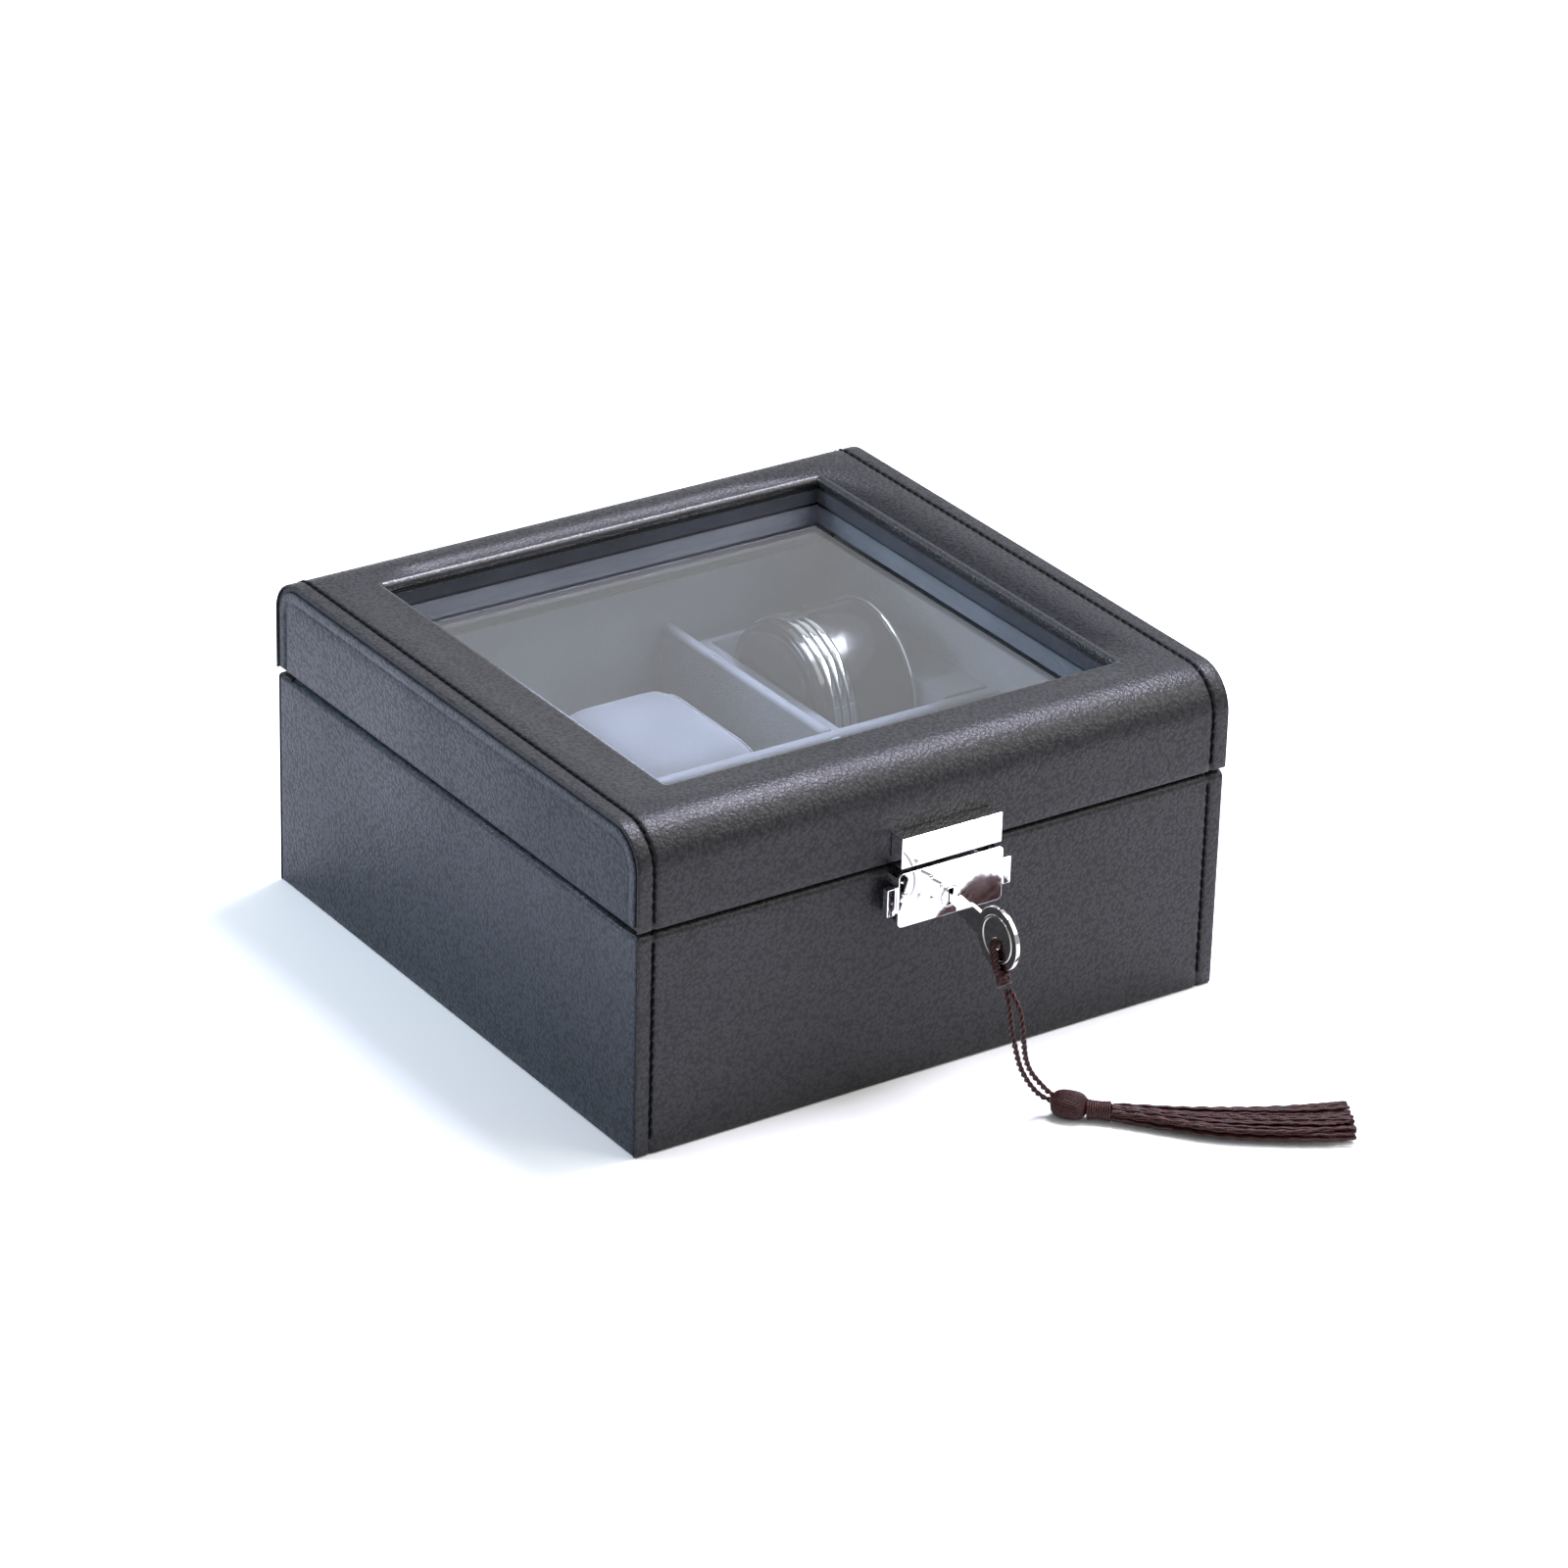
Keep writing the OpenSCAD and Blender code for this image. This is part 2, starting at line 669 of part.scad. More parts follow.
// The key in its own frame: its axis along Y, the keyhole at the origin, the bow at -Y
module key_blank() {
    bow_hole_r = 1.8;
    tip = 8.6;
    ring = [6.3, 7];
    raise = 0.25;
    difference() {
        union() {
            translate([-key_t / 2, 0, 0]) along_x(key_t) {
                translate([-5, -1.4]) square([5 + tip, 2.8]);
                translate([-9, -2.6]) square([5, 5.2]);
                translate([bow_y, -3.5]) square([-9 - bow_y, 7]);
                translate([bow_y, 0]) circle(bow_r);
            }
            translate([0, bow_y, 0]) rotate([0, 90, 0]) difference() {
                cylinder(key_t + 2 * raise, ring[1], ring[1], center = true);
                cylinder(key_t + 2, ring[0], ring[0], center = true);
            }
        }
        translate([0, bow_y, -1.5]) rotate([0, 90, 0])
            cylinder(key_t + 2, bow_hole_r, bow_hole_r, center = true);
    }
}

module key() color(chrome_colour)
    translate([0, lock_y, keyhole_z]) rotate([key_droop, 0, 0]) key_blank();

// The knot: the cord passes through the bow, down both of its faces and is tied at its edge
module tassel_knot() color(cord_colour)
    translate([0, lock_y, keyhole_z]) rotate([key_droop, 0, 0])
        translate([0, bow_y, -1.5]) rotate([-26, 0, 0]) {
            loop_r = 0.9;
            rotate([0, 90, 0]) cylinder(key_t + 4 * loop_r, loop_r, loop_r, center = true);
            for (side = [-1, 1]) translate([side * (key_t / 2 + loop_r + 0.3), 0, -10.5])
                cylinder(10.5, loop_r, loop_r);
            translate([0, 0, -10.7]) sphere(2.5);
        }

// Points of a smooth curve through a route, four to each stretch
function spline(p, i, t) = let (
        a = p[max(i - 1, 0)], b = p[i], c = p[i + 1], d = p[min(i + 2, len(p) - 1)]
    ) 0.5 * (2 * b + (c - a) * t + (2 * a - 5 * b + 4 * c - d) * t * t
        + (3 * b - a - 3 * c + d) * t * t * t);
function smooth(p, n) = concat(
    [for (i = [0:len(p) - 2], k = [0:n - 1]) spline(p, i, k / n)], [p[len(p) - 1]]);
function unit(v) = v / norm(v);
function tangent(p, i) = unit(p[min(i + 1, len(p) - 1)] - p[max(i - 1, 0)]);

// A closed tube along the points, with a width and a height at each of them
module sweep(points, widths, heights, sides) {
    across = unit([cos(tassel_dir + 90), sin(tassel_dir + 90), 0]);
    count = len(points);
    rings = [for (i = [0:count - 1]) let (
            t = tangent(points, i),
            s = unit(across - (across * t) * t),
            u = cross(t, s)
        ) for (k = [0:sides - 1]) let (a = 360 * k / sides)
            points[i] + s * cos(a) * widths[i] / 2 + u * sin(a) * heights[i] / 2];
    walls = [for (i = [0:count - 2], k = [0:sides - 1]) let (
            n = (k + 1) % sides, a = i * sides + k, b = i * sides + n
        ) [a, a + sides, b + sides, b]];
    start = [for (k = [0:sides - 1]) k];
    end = [for (k = [sides - 1:-1:0]) (count - 1) * sides + k];
    polyhedron(rings, concat(walls, [start], [end]), convexity = 4);
}

module tassel_cord(route) color(cord_colour) {
    points = smooth(route, 2);
    sizes = [for (p = points) strand_d];
    sweep(points, sizes, sizes, 8);
}

// Stands a piece of the tassel at a point, along a direction on the table
module lay_along(pos, dir) translate(pos) rotate([0, 0, dir]) rotate([0, 90, 0]) children();

module tassel_head() color(cord_colour) {
    lay_along(head_pos, tassel_dir) {
        cylinder(3, 3.9, 3.9, center = true);
        for (z = [-1.5, 1.5]) translate([0, 0, z]) sphere(3.9);
    }
    lay_along(neck_pos, neck_dir) cylinder(6.8, 3, 3);
}

module tassel_skirt() color(cord_colour) {
    points = smooth(skirt_route, 2);
    widths = smooth(skirt_widths, 2);
    sweep(points, widths * skirt_w / 18, [for (w = widths) skirt_h], 12);
}

// Involute of the pressure angle, in degrees
function involute(a) = tan(a) * 180 / PI - a;

// Half the angle that a tooth spans at a radius
function tooth_angle(pitch_r, teeth, backlash, r) = let (
        base_r = pitch_r * cos(pressure_angle),
        a = r > base_r ? acos(base_r / r) : 0
    ) 90 / teeth - backlash / pitch_r * 90 / PI + involute(pressure_angle) - involute(a);

// Outline of a spur gear with involute teeth, one tooth centred on +X
module gear_outline(pitch_r, teeth) {
    backlash = 0.16;
    tip = pitch_r + 0.9 * gear_module;
    root = pitch_r - 1.25 * gear_module;
    base_r = pitch_r * cos(pressure_angle);
    low = max(root, base_r);
    radii = [root, low, low + (tip - low) / 3, low + (tip - low) * 2 / 3, tip];
    polygon([for (i = [0:teeth - 1], k = [0:9]) let (
            up = k < 5,
            r = radii[up ? k : 9 - k],
            half = tooth_angle(pitch_r, teeth, backlash, r),
            a = 360 / teeth * i + (up ? -half : half)
        ) r * [cos(a), sin(a)]]);
}

module drum_gear() color(brass_colour) difference() {
    union() {
        translate([gear_x, drum_pos[1], drum_pos[2]]) along_x(gear_w)
            rotate(pinion_angle) gear_outline(gear_pitch_r, gear_teeth);
        rod_x(well_x[0] - 2.6, motor_plate_x + 0.8, drum_pos[1], drum_pos[2], shaft_r);
        rod_x(drive_x[0] + 0.4, gear_x + 0.1, drum_pos[1], drum_pos[2], 4);
    }
    translate([gear_x - 1, 0, 0]) for (a = [0:60:300]) translate([0, drum_pos[1], drum_pos[2]])
        rotate([a, 0, 0]) translate([0, 5.4, 0]) rotate([0, 90, 0]) cylinder(gear_w + 2, 0.9, 0.9);
}

module motor_pinion() color(steel_colour) {
    difference() {
        translate([gear_x, pinion_pos[0], pinion_pos[1]]) along_x(gear_w)
            rotate(pinion_angle + 180 + 180 / pinion_teeth) gear_outline(pinion_pitch_r, pinion_teeth);
        rod_x(gear_x - 1, gear_x + gear_w + 1, pinion_pos[0], pinion_pos[1], motor_shaft_r / 2);
    }
    rod_x(gear_x - 0.4, motor_x + 1.5, pinion_pos[0], pinion_pos[1], motor_shaft_r);
}

module drive_motor() color(steel_colour) difference() {
    union() {
        block([motor_plate_x, module_y[0] + module_wall, module_z[0] + plate_h],
              [motor_plate_x + motor_plate_t, board_y[0] - 1, 47]);
        rod_x(motor_x - 0.1, motor_x + motor_w, pinion_pos[0], pinion_pos[1], motor_r);
        block([motor_x + 0.2, 44, 27.5], [motor_x + 3.2, 49, 32.5]);
    }
    rod_x(motor_plate_x - 1, motor_x + 1.8, pinion_pos[0], pinion_pos[1], motor_shaft_r + running);
    rod_x(motor_plate_x - 1, motor_x + 1, drum_pos[1], drum_pos[2], shaft_r + running);
}

module control_board() {
    color("#1F5B3A") block([board_x, board_y[0], board_z[0]], [board_x + 1.4, board_y[1], board_z[1]]);
    color(gloss_colour) {
        block([board_x + 1.3, 60, 18], [board_x + 3, 67, 26]);
        block([board_x + 1.3, 68, 30], [board_x + 4, 74, 36]);
    }
    color("#8C2B22") for (dz = [-1.5, 1.5])
        rod_y(board_x + 1.9, 30 + dz, 49.1, board_y[0] + 1.5, 0.7);
    color(gloss_colour) {
        rod_y(socket_x, socket_z, board_y[1] - 1, base_y - 12.4, lead_r);
        rod_y(socket_x, switch_z, board_y[1] - 1, 86, lead_r);
        translate([socket_x, 86, switch_z]) sphere(lead_r);
        rod_x(switch_x, socket_x, 86, switch_z, lead_r);
        translate([switch_x, 86, switch_z]) sphere(lead_r);
        rod_y(switch_x, switch_z, 86, bay_y - 1.6, lead_r);
    }
}

// The velvet-covered block around the drum: an open well, and a closed drive space beside it
module winder_housing() color(velvet_colour) difference() {
    top = 1.8;
    drive_top = drum_pos[2] + gear_pitch_r + gear_module + 0.5 + top;
    union() {
        block([module_x[0], module_y[0], module_z[0] + plate_h], [module_x[1], module_y[1], module_z[1]]);
        block([well_x[1], module_y[0], module_z[0] + plate_h], [module_x[1], module_y[1], drive_top]);
    }
    block([well_x[0], module_y[0] + module_wall, module_z[0] - 1],
          [well_x[1], module_y[1] - module_wall, module_z[1] + 1]);
    block([drive_x[0], module_y[0] + module_wall, module_z[0] - 1],
          [drive_x[1], module_y[1] - module_wall, drive_top - top]);
    rod_x(module_x[0] - 1, drive_x[0] + 1, drum_pos[1], drum_pos[2], bush_r);
    for (z = [socket_z, switch_z])
        rod_y(socket_x, z, module_y[1] - module_wall - 1, module_y[1] + 1, lead_r + 0.4);
}

module winder_base_plate() color(gloss_colour)
    block([module_x[0], module_y[0], module_z[0]], [module_x[1], module_y[1], module_z[0] + plate_h]);

module drum_bushes() color(brass_colour) difference() {
    union() {
        rod_x(module_x[0] + 0.2, well_x[0], drum_pos[1], drum_pos[2], bush_r);
        rod_x(well_x[1], drive_x[0], drum_pos[1], drum_pos[2], bush_r);
    }
    rod_x(module_x[0] - 1, drive_x[0] + 1, drum_pos[1], drum_pos[2], shaft_r + running);
}

// The drum: a thin shell with a disc at each end that grips the shaft
module winding_drum() color(gloss_colour) {
    x0 = drum_pos[0] - drum_len / 2;
    x1 = drum_pos[0] + drum_len / 2;
    shell = 2;
    difference() {
        rod_x(x0, x1, drum_pos[1], drum_pos[2], drum_r);
        rod_x(x0 + shell, x1 - shell, drum_pos[1], drum_pos[2], drum_r - shell);
        rod_x(x0 - 1, x1 + 1, drum_pos[1], drum_pos[2], shaft_r);
    }
}

// The polished ribs at the drum's left end and the thin rim at its right end
module drum_ribs() color(chrome_colour) {
    x0 = drum_pos[0] - drum_len / 2;
    x1 = drum_pos[0] + drum_len / 2;
    rib_w = 2.2;
    rib_pitch = 2.8;
    rib_out = 1.1;
    for (x = [x0 + 2.4, x0 + 2.4 + rib_pitch, x0 + 2.4 + 2 * rib_pitch, x1 - 1.2]) difference() {
        rod_x(x, min(x + rib_w, x1), drum_pos[1], drum_pos[2], drum_r + rib_out);
        rod_x(x - 1, x + rib_w + 1, drum_pos[1], drum_pos[2], drum_r);
    }
}

module power_socket() color(gloss_colour) {
    back = base_y + gap / 2;
    flange = 1.2;
    half = switch_slot / 2;
    difference() {
        union() {
            rod_y(socket_x, socket_z, base_y - 12.4, back + 0.1, socket_r);
            rod_y(socket_x, socket_z, back, back + flange, socket_r + 1.5);
        }
        rod_y(socket_x, socket_z, back - 9, back + flange + 1, 2.75);
    }
    rod_y(socket_x, socket_z, back - 9.5, back - 1, 0.8);
    difference() {
        union() {
            block([switch_x - half[0], bay_y - 1.6, switch_z - half[1]],
                  [switch_x + half[0], back + 0.1, switch_z + half[1]]);
            block([switch_x - half[0] - 2, back, switch_z - half[1] - 1.5],
                  [switch_x + half[0] + 2, back + flange, switch_z + half[1] + 1.5]);
        }
        block([switch_x - half[0] + 1, back - 4, switch_z - half[1] + 1.5],
              [switch_x + half[0] - 1, back + flange + 1, switch_z + half[1] - 1.5]);
    }
}

module switch_knob() color(chrome_colour) {
    back = base_y + gap / 2;
    half = [1.2, 1.4];
    x = switch_x - switch_travel / 2;
    block([x - half[0], back - 3.7, switch_z - half[1]], [x + half[0], back + 3.2, switch_z + half[1]]);
}

base_felt();
base_bottom_board();
base_cross_board(-1);  // base_front_board
base_cross_board(1);  // base_back_board
base_side_board(-1);  // base_left_board
base_side_board(1);  // base_right_board
base_leather_wraps();
base_leather_sides();
base_lining();
long_divider(-bay_pitch / 2);  // divider_left
long_divider(bay_pitch / 2);  // divider_right
divider_cross();
watch_pillow(-1, -1);  // pillow_front_left
watch_pillow(0, -1);  // pillow_front_middle
watch_pillow(1, -1);  // pillow_front_right
watch_pillow(-1, 1);  // pillow_back_left
watch_pillow(0, 1);  // pillow_back_middle
lid_cross_board(-1);  // lid_front_board
lid_cross_board(1);  // lid_back_board
lid_side_board(-lid_board_x);  // lid_left_board
lid_side_board(lid_in_x);  // lid_right_board
lid_top_board();
lid_leather_wrap();
lid_leather_sides();
lid_lining();
window_bead();
window_edging();
window_glass();
glass_retainer();
hinge_base_leaves();
hinge_lid_leaves();
hinge_pins();
hinge_screws(base_y, -leaf_screw_dz);  // hinge_base_screws
hinge_screws(lid_y, leaf_screw_dz);  // hinge_lid_screws
lock_plate();
lock_case();
lock_catch();
catch_spring();
lock_plug();
lock_screws();
keeper_cover();
keeper_tongue();
keeper_screws();
key();
tassel_knot();
tassel_cord(cord_left_route);  // tassel_cord_left
tassel_cord(cord_right_route);  // tassel_cord_right
tassel_head();
tassel_skirt();
winder_housing();
winder_base_plate();
winding_drum();
drum_ribs();
drum_gear();
drum_bushes();
drive_motor();
motor_pinion();
control_board();
power_socket();
switch_knob();
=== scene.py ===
"""Watch winder box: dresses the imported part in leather, velvet, glass and chrome.

Lengths are given in millimetres and turned to metres by mm() where a mesh is made.
"""

import json
import logging
import math
import random
from dataclasses import dataclass, field
from enum import Enum

import bmesh
import bpy
from mathutils import Matrix, Vector
from mathutils.bvhtree import BVHTree

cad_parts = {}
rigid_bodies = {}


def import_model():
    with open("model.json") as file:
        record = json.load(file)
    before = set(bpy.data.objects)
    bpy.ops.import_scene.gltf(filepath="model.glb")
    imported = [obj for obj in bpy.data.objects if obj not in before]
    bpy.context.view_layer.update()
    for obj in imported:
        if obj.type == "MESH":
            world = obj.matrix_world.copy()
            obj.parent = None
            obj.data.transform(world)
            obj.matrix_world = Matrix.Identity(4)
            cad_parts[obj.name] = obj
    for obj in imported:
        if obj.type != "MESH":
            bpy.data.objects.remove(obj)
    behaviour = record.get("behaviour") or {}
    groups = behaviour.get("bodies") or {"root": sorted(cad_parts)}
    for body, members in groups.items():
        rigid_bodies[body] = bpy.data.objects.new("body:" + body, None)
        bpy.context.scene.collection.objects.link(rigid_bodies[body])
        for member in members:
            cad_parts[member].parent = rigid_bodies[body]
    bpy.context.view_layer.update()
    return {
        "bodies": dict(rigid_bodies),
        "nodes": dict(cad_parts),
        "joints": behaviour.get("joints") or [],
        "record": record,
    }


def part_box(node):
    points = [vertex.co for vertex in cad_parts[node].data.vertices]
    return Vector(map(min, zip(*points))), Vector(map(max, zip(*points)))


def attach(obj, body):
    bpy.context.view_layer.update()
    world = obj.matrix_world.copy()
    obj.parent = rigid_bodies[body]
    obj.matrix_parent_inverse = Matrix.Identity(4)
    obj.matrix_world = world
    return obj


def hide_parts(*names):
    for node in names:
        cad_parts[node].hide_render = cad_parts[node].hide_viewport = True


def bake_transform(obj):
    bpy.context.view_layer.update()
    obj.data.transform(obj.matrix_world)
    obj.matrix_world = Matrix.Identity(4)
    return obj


LOG = logging.getLogger("watch_winder_box")
Point = tuple[float, float, float]
Flat = tuple[float, float]
Socket = bpy.types.NodeSocket


class Body(Enum):
    """The bodies of the frame that pieces ride on."""

    BASE = "base"
    LID = "lid"
    KEY = "key"
    PLUG = "lock_plug"
    CATCH = "catch"
    DRUM = "drum"
    PINION = "pinion"
    SWITCH = "switch"


def mm(value: float) -> float:
    """Turns millimetres into metres."""
    return value / 1000


def vec(point: Point) -> Vector:
    """Turns a point in millimetres into a vector in metres."""
    return Vector(point) / 1000


def srgb(code: str, alpha: float = 1.0) -> tuple[float, float, float, float]:
    """Turns an sRGB hex colour into linear RGBA.

    Args:
        code: colour such as "#4B4D52".
        alpha: opacity.

    Returns:
        The linear red, green and blue, and alpha.
    """
    values = [int(code[i : i + 2], 16) / 255 for i in (1, 3, 5)]
    linear = [v / 12.92 if v <= 0.04045 else ((v + 0.055) / 1.055) ** 2.4 for v in values]
    return (*linear, alpha)


# ---------------------------------------------------------------- finishes


class NodeGraph:
    """A material's node tree, with its coordinates and its output ready."""

    def __init__(self, name: str) -> None:
        """Starts an empty material.

        Args:
            name: the material's name.
        """
        self.material = bpy.data.materials.new(name)
        self.material.use_nodes = True
        self.tree = self.material.node_tree
        self.tree.nodes.clear()
        self.output = self.add("ShaderNodeOutputMaterial")
        self.coords = self.add("ShaderNodeTexCoord").outputs["Object"]

    def add(self, kind: str, inputs: dict | None = None, **settings: object) -> bpy.types.Node:
        """Adds a node with its settings and links.

        Args:
            kind: the node's type name.
            inputs: value or source socket for each input, by name or number.
            settings: the node's own properties.

        Returns:
            The new node.
        """
        node = self.tree.nodes.new(kind)
        for key, value in settings.items():
            setattr(node, key, value)
        for key, value in (inputs or {}).items():
            if isinstance(value, bpy.types.NodeSocket):
                self.tree.links.new(value, node.inputs[key])
            else:
                node.inputs[key].default_value = value
        return node

    def noise(self, scale: float, detail: float = 3.0,
              source: Socket | None = None) -> Socket:
        """Adds a noise pattern and returns its value socket.

        Args:
            scale: repeats in a metre.
            detail: octaves of finer noise.
            source: coordinates, object coordinates if left out.
        """
        values = {"Vector": source or self.coords, "Scale": scale, "Detail": detail}
        return self.add("ShaderNodeTexNoise", values).outputs["Fac"]

    def ramp(self, source: Socket, low: float, high: float,
             to_low: float, to_high: float) -> Socket:
        """Maps a value from one range to another and returns the socket."""
        values = {0: source, 1: low, 2: high, 3: to_low, 4: to_high}
        return self.add("ShaderNodeMapRange", values).outputs[0]

    def maths(self, operation: str, a: Socket | float, b: Socket | float) -> Socket:
        """Joins two values with a Math node and returns the socket."""
        return self.add("ShaderNodeMath", {0: a, 1: b}, operation=operation).outputs[0]

    def mix(self, factor: Socket, first: tuple, second: tuple) -> Socket:
        """Mixes two colours and returns the colour socket."""
        node = self.add("ShaderNodeMix", {0: factor, 6: first, 7: second}, data_type="RGBA")
        return node.outputs[2]

    def bump(self, height: Socket, strength: float, depth: float) -> Socket:
        """Adds a bump of a depth in millimetres and returns its normal socket."""
        values = {"Strength": strength, "Distance": mm(depth), "Height": height}
        return self.add("ShaderNodeBump", values).outputs[0]

    def surface(self, shader: bpy.types.NodeSocket) -> bpy.types.Material:
        """Links the shader to the output and returns the material."""
        self.tree.links.new(shader, self.output.inputs["Surface"])
        return self.material

    def principled(self, inputs: dict) -> bpy.types.NodeSocket:
        """Adds a Principled shader and returns its socket."""
        return self.add("ShaderNodeBsdfPrincipled", inputs).outputs[0]


@dataclass(frozen=True)
class Leather:
    """Bonded leather, pebble-embossed and lacquered: satin, with bright grains on the bends."""

    name: str
    colour: str
    crease: str
    pebble: float = 1.15
    roughness: float = 0.33
    depth: float = 0.1
    specular: float = 0.25

    def material(self) -> bpy.types.Material:
        """Builds the embossed grain: pebbles, the dips between them and a soft tone."""
        g = NodeGraph(self.name)
        drift = g.add("ShaderNodeTexNoise", {"Vector": g.coords, "Scale": 900.0, "Detail": 1.0})
        bent = g.add("ShaderNodeMix", {0: 0.0012, 4: g.coords, 5: drift.outputs["Color"]},
                     data_type="VECTOR").outputs[1]
        scale = 1 / mm(self.pebble)
        coarse, fine = (
            g.add("ShaderNodeTexVoronoi", {"Vector": bent, "Scale": scale * part},
                  feature="F1").outputs["Distance"] for part in (1.0, 2.1))
        groove = g.ramp(g.maths("MULTIPLY", coarse, coarse), 0.5, 0.02, 0.0, 1.0)
        height = g.maths("ADD", groove, g.maths("MULTIPLY", fine, -0.55))
        height = g.maths("ADD", height, g.maths("MULTIPLY", g.noise(2600.0, 1.0), 0.3))
        tone = g.ramp(g.noise(22.0, 4.0), 0.3, 0.7, 0.0, 1.0)
        colour = g.mix(g.maths("MULTIPLY", groove, g.ramp(tone, 0, 1, 0.78, 1.0)),
                       srgb(self.crease), srgb(self.colour))
        rough = g.ramp(g.maths("ADD", groove, tone), 0.0, 2.0,
                       self.roughness + 0.14, self.roughness - 0.05)
        return g.surface(g.principled({
            "Base Color": colour, "Roughness": rough, "IOR": 1.5,
            "Specular IOR Level": self.specular, "Normal": g.bump(height, 0.75, self.depth)}))


@dataclass(frozen=True)
class Velvet:
    """Short-pile velvet: matt, pale where the nap is brushed flat, with a soft sheen."""

    name: str
    colour: str
    brushed: str
    sheen: float = 0.2

    def material(self) -> bpy.types.Material:
        """Builds the nap: fine pile and broad brushed patches."""
        g = NodeGraph(self.name)
        patches = g.ramp(g.noise(30.0, 4.0), 0.3, 0.8, 0.0, 1.0)
        pile = g.noise(2400.0, 2.0)
        colour = g.mix(g.maths("MULTIPLY", patches, g.ramp(pile, 0.3, 0.7, 0.6, 1.0)),
                       srgb(self.colour), srgb(self.brushed))
        height = g.maths("ADD", pile, g.maths("MULTIPLY", patches, 0.5))
        return g.surface(g.principled({
            "Base Color": colour, "Roughness": 0.95, "Sheen Weight": self.sheen,
            "Sheen Roughness": 0.45, "Normal": g.bump(height, 0.7, 0.25)}))


@dataclass(frozen=True)
class Metal:
    """Plated or bare metal: polished, or brushed along one axis, with faint handling marks."""

    name: str
    colour: str
    roughness: float
    brushed: float = 0.0

    def material(self) -> bpy.types.Material:
        """Builds the polish, and the brush lines where the metal has them."""
        g = NodeGraph(self.name)
        smudge = g.ramp(g.noise(150.0, 3.0), 0.35, 0.75, self.roughness * 0.8,
                        self.roughness * 1.5 + 0.01)
        inputs = {"Base Color": srgb(self.colour), "Metallic": 1.0, "Roughness": smudge}
        stretched = g.add("ShaderNodeMapping", {"Vector": g.coords, "Scale": (60, 4000, 4000)})
        lines = g.noise(1.0, 2.0, stretched.outputs[0])
        inputs["Normal"] = g.bump(lines, 0.02 + self.brushed, 0.02)
        return g.surface(g.principled(inputs))


@dataclass(frozen=True)
class Plastic:
    """Moulded plastic, polished or fine-textured, with a little dust-like unevenness."""

    name: str
    colour: str
    roughness: float
    texture: float = 0.1
    coat: float = 0.0

    def material(self) -> bpy.types.Material:
        """Builds the moulded skin."""
        g = NodeGraph(self.name)
        fine = g.noise(1800.0, 2.0)
        rough = g.ramp(g.noise(60.0, 3.0), 0.3, 0.7, self.roughness * 0.85, self.roughness * 1.2)
        return g.surface(g.principled({
            "Base Color": srgb(self.colour), "Roughness": rough, "IOR": 1.5,
            "Coat Weight": self.coat, "Coat Roughness": 0.04,
            "Normal": g.bump(fine, self.texture, 0.05)}))


@dataclass(frozen=True)
class Board:
    """Medium-density fibreboard dyed through: matt, with short compressed fibres."""

    name: str
    colour: str
    fibre: str

    def material(self) -> bpy.types.Material:
        """Builds the pressed fibres."""
        g = NodeGraph(self.name)
        fibres = g.ramp(g.noise(900.0, 6.0), 0.35, 0.65, 0.0, 1.0)
        colour = g.mix(fibres, srgb(self.colour), srgb(self.fibre))
        return g.surface(g.principled({
            "Base Color": colour, "Roughness": 0.85, "Normal": g.bump(fibres, 0.4, 0.1)}))


@dataclass(frozen=True)
class Yarn:
    """Twisted viscose: shiny filaments that catch the light at every turn of the ply."""

    name: str
    colour: str
    glint: str
    roughness: float = 0.34
    lay: float = 0.5
    specular: float = 0.3

    def material(self) -> bpy.types.Material:
        """Builds the filaments and a painted glint: the glint colour on random filaments, which
        are also glossier.
        """
        g = NodeGraph(self.name)
        filaments = g.noise(1 / mm(self.lay), 3.0)
        tone = g.ramp(filaments, 0.42, 0.68, 0.0, 1.0)
        # Painted glint: the glint colour is mixed in where the filaments peak.
        colour = g.mix(tone, srgb(self.colour), srgb(self.glint))
        rough = g.ramp(tone, 0.0, 1.0, self.roughness + 0.25, self.roughness)
        return g.surface(g.principled({
            "Base Color": colour, "Roughness": rough, "Specular IOR Level": self.specular,
            "Normal": g.bump(filaments, 0.9, 0.22)}))


@dataclass(frozen=True)
class WindowGlass:
    """Float glass, clear and polished; lamps shine through it on what it covers."""

    name: str
    colour: str

    def material(self) -> bpy.types.Material:
        """Builds the pane: it bends what is seen, and lets light from the lamps through."""
        g = NodeGraph(self.name)
        pane = g.principled({
            "Base Color": srgb(self.colour), "Roughness": 0.0, "IOR": 1.52,
            "Transmission Weight": 1.0})
        clear = g.add("ShaderNodeBsdfTransparent", {"Color": srgb(self.colour)}).outputs[0]
        lamps = g.add("ShaderNodeLightPath").outputs["Is Shadow Ray"]
        mixed = g.add("ShaderNodeMixShader", {0: lamps, 1: pane, 2: clear}).outputs[0]
        return g.surface(mixed)


@dataclass(frozen=True)
class Table:
    """White matt tabletop: a plain pale floor."""

    name: str = "matt white tabletop"
    colour: str = "#F6F6F6"

    def material(self) -> bpy.types.Material:
        """Builds the plain floor."""
        g = NodeGraph(self.name)
        return g.surface(g.principled({
            "Base Color": srgb(self.colour), "Roughness": 0.9, "Specular IOR Level": 0.1}))


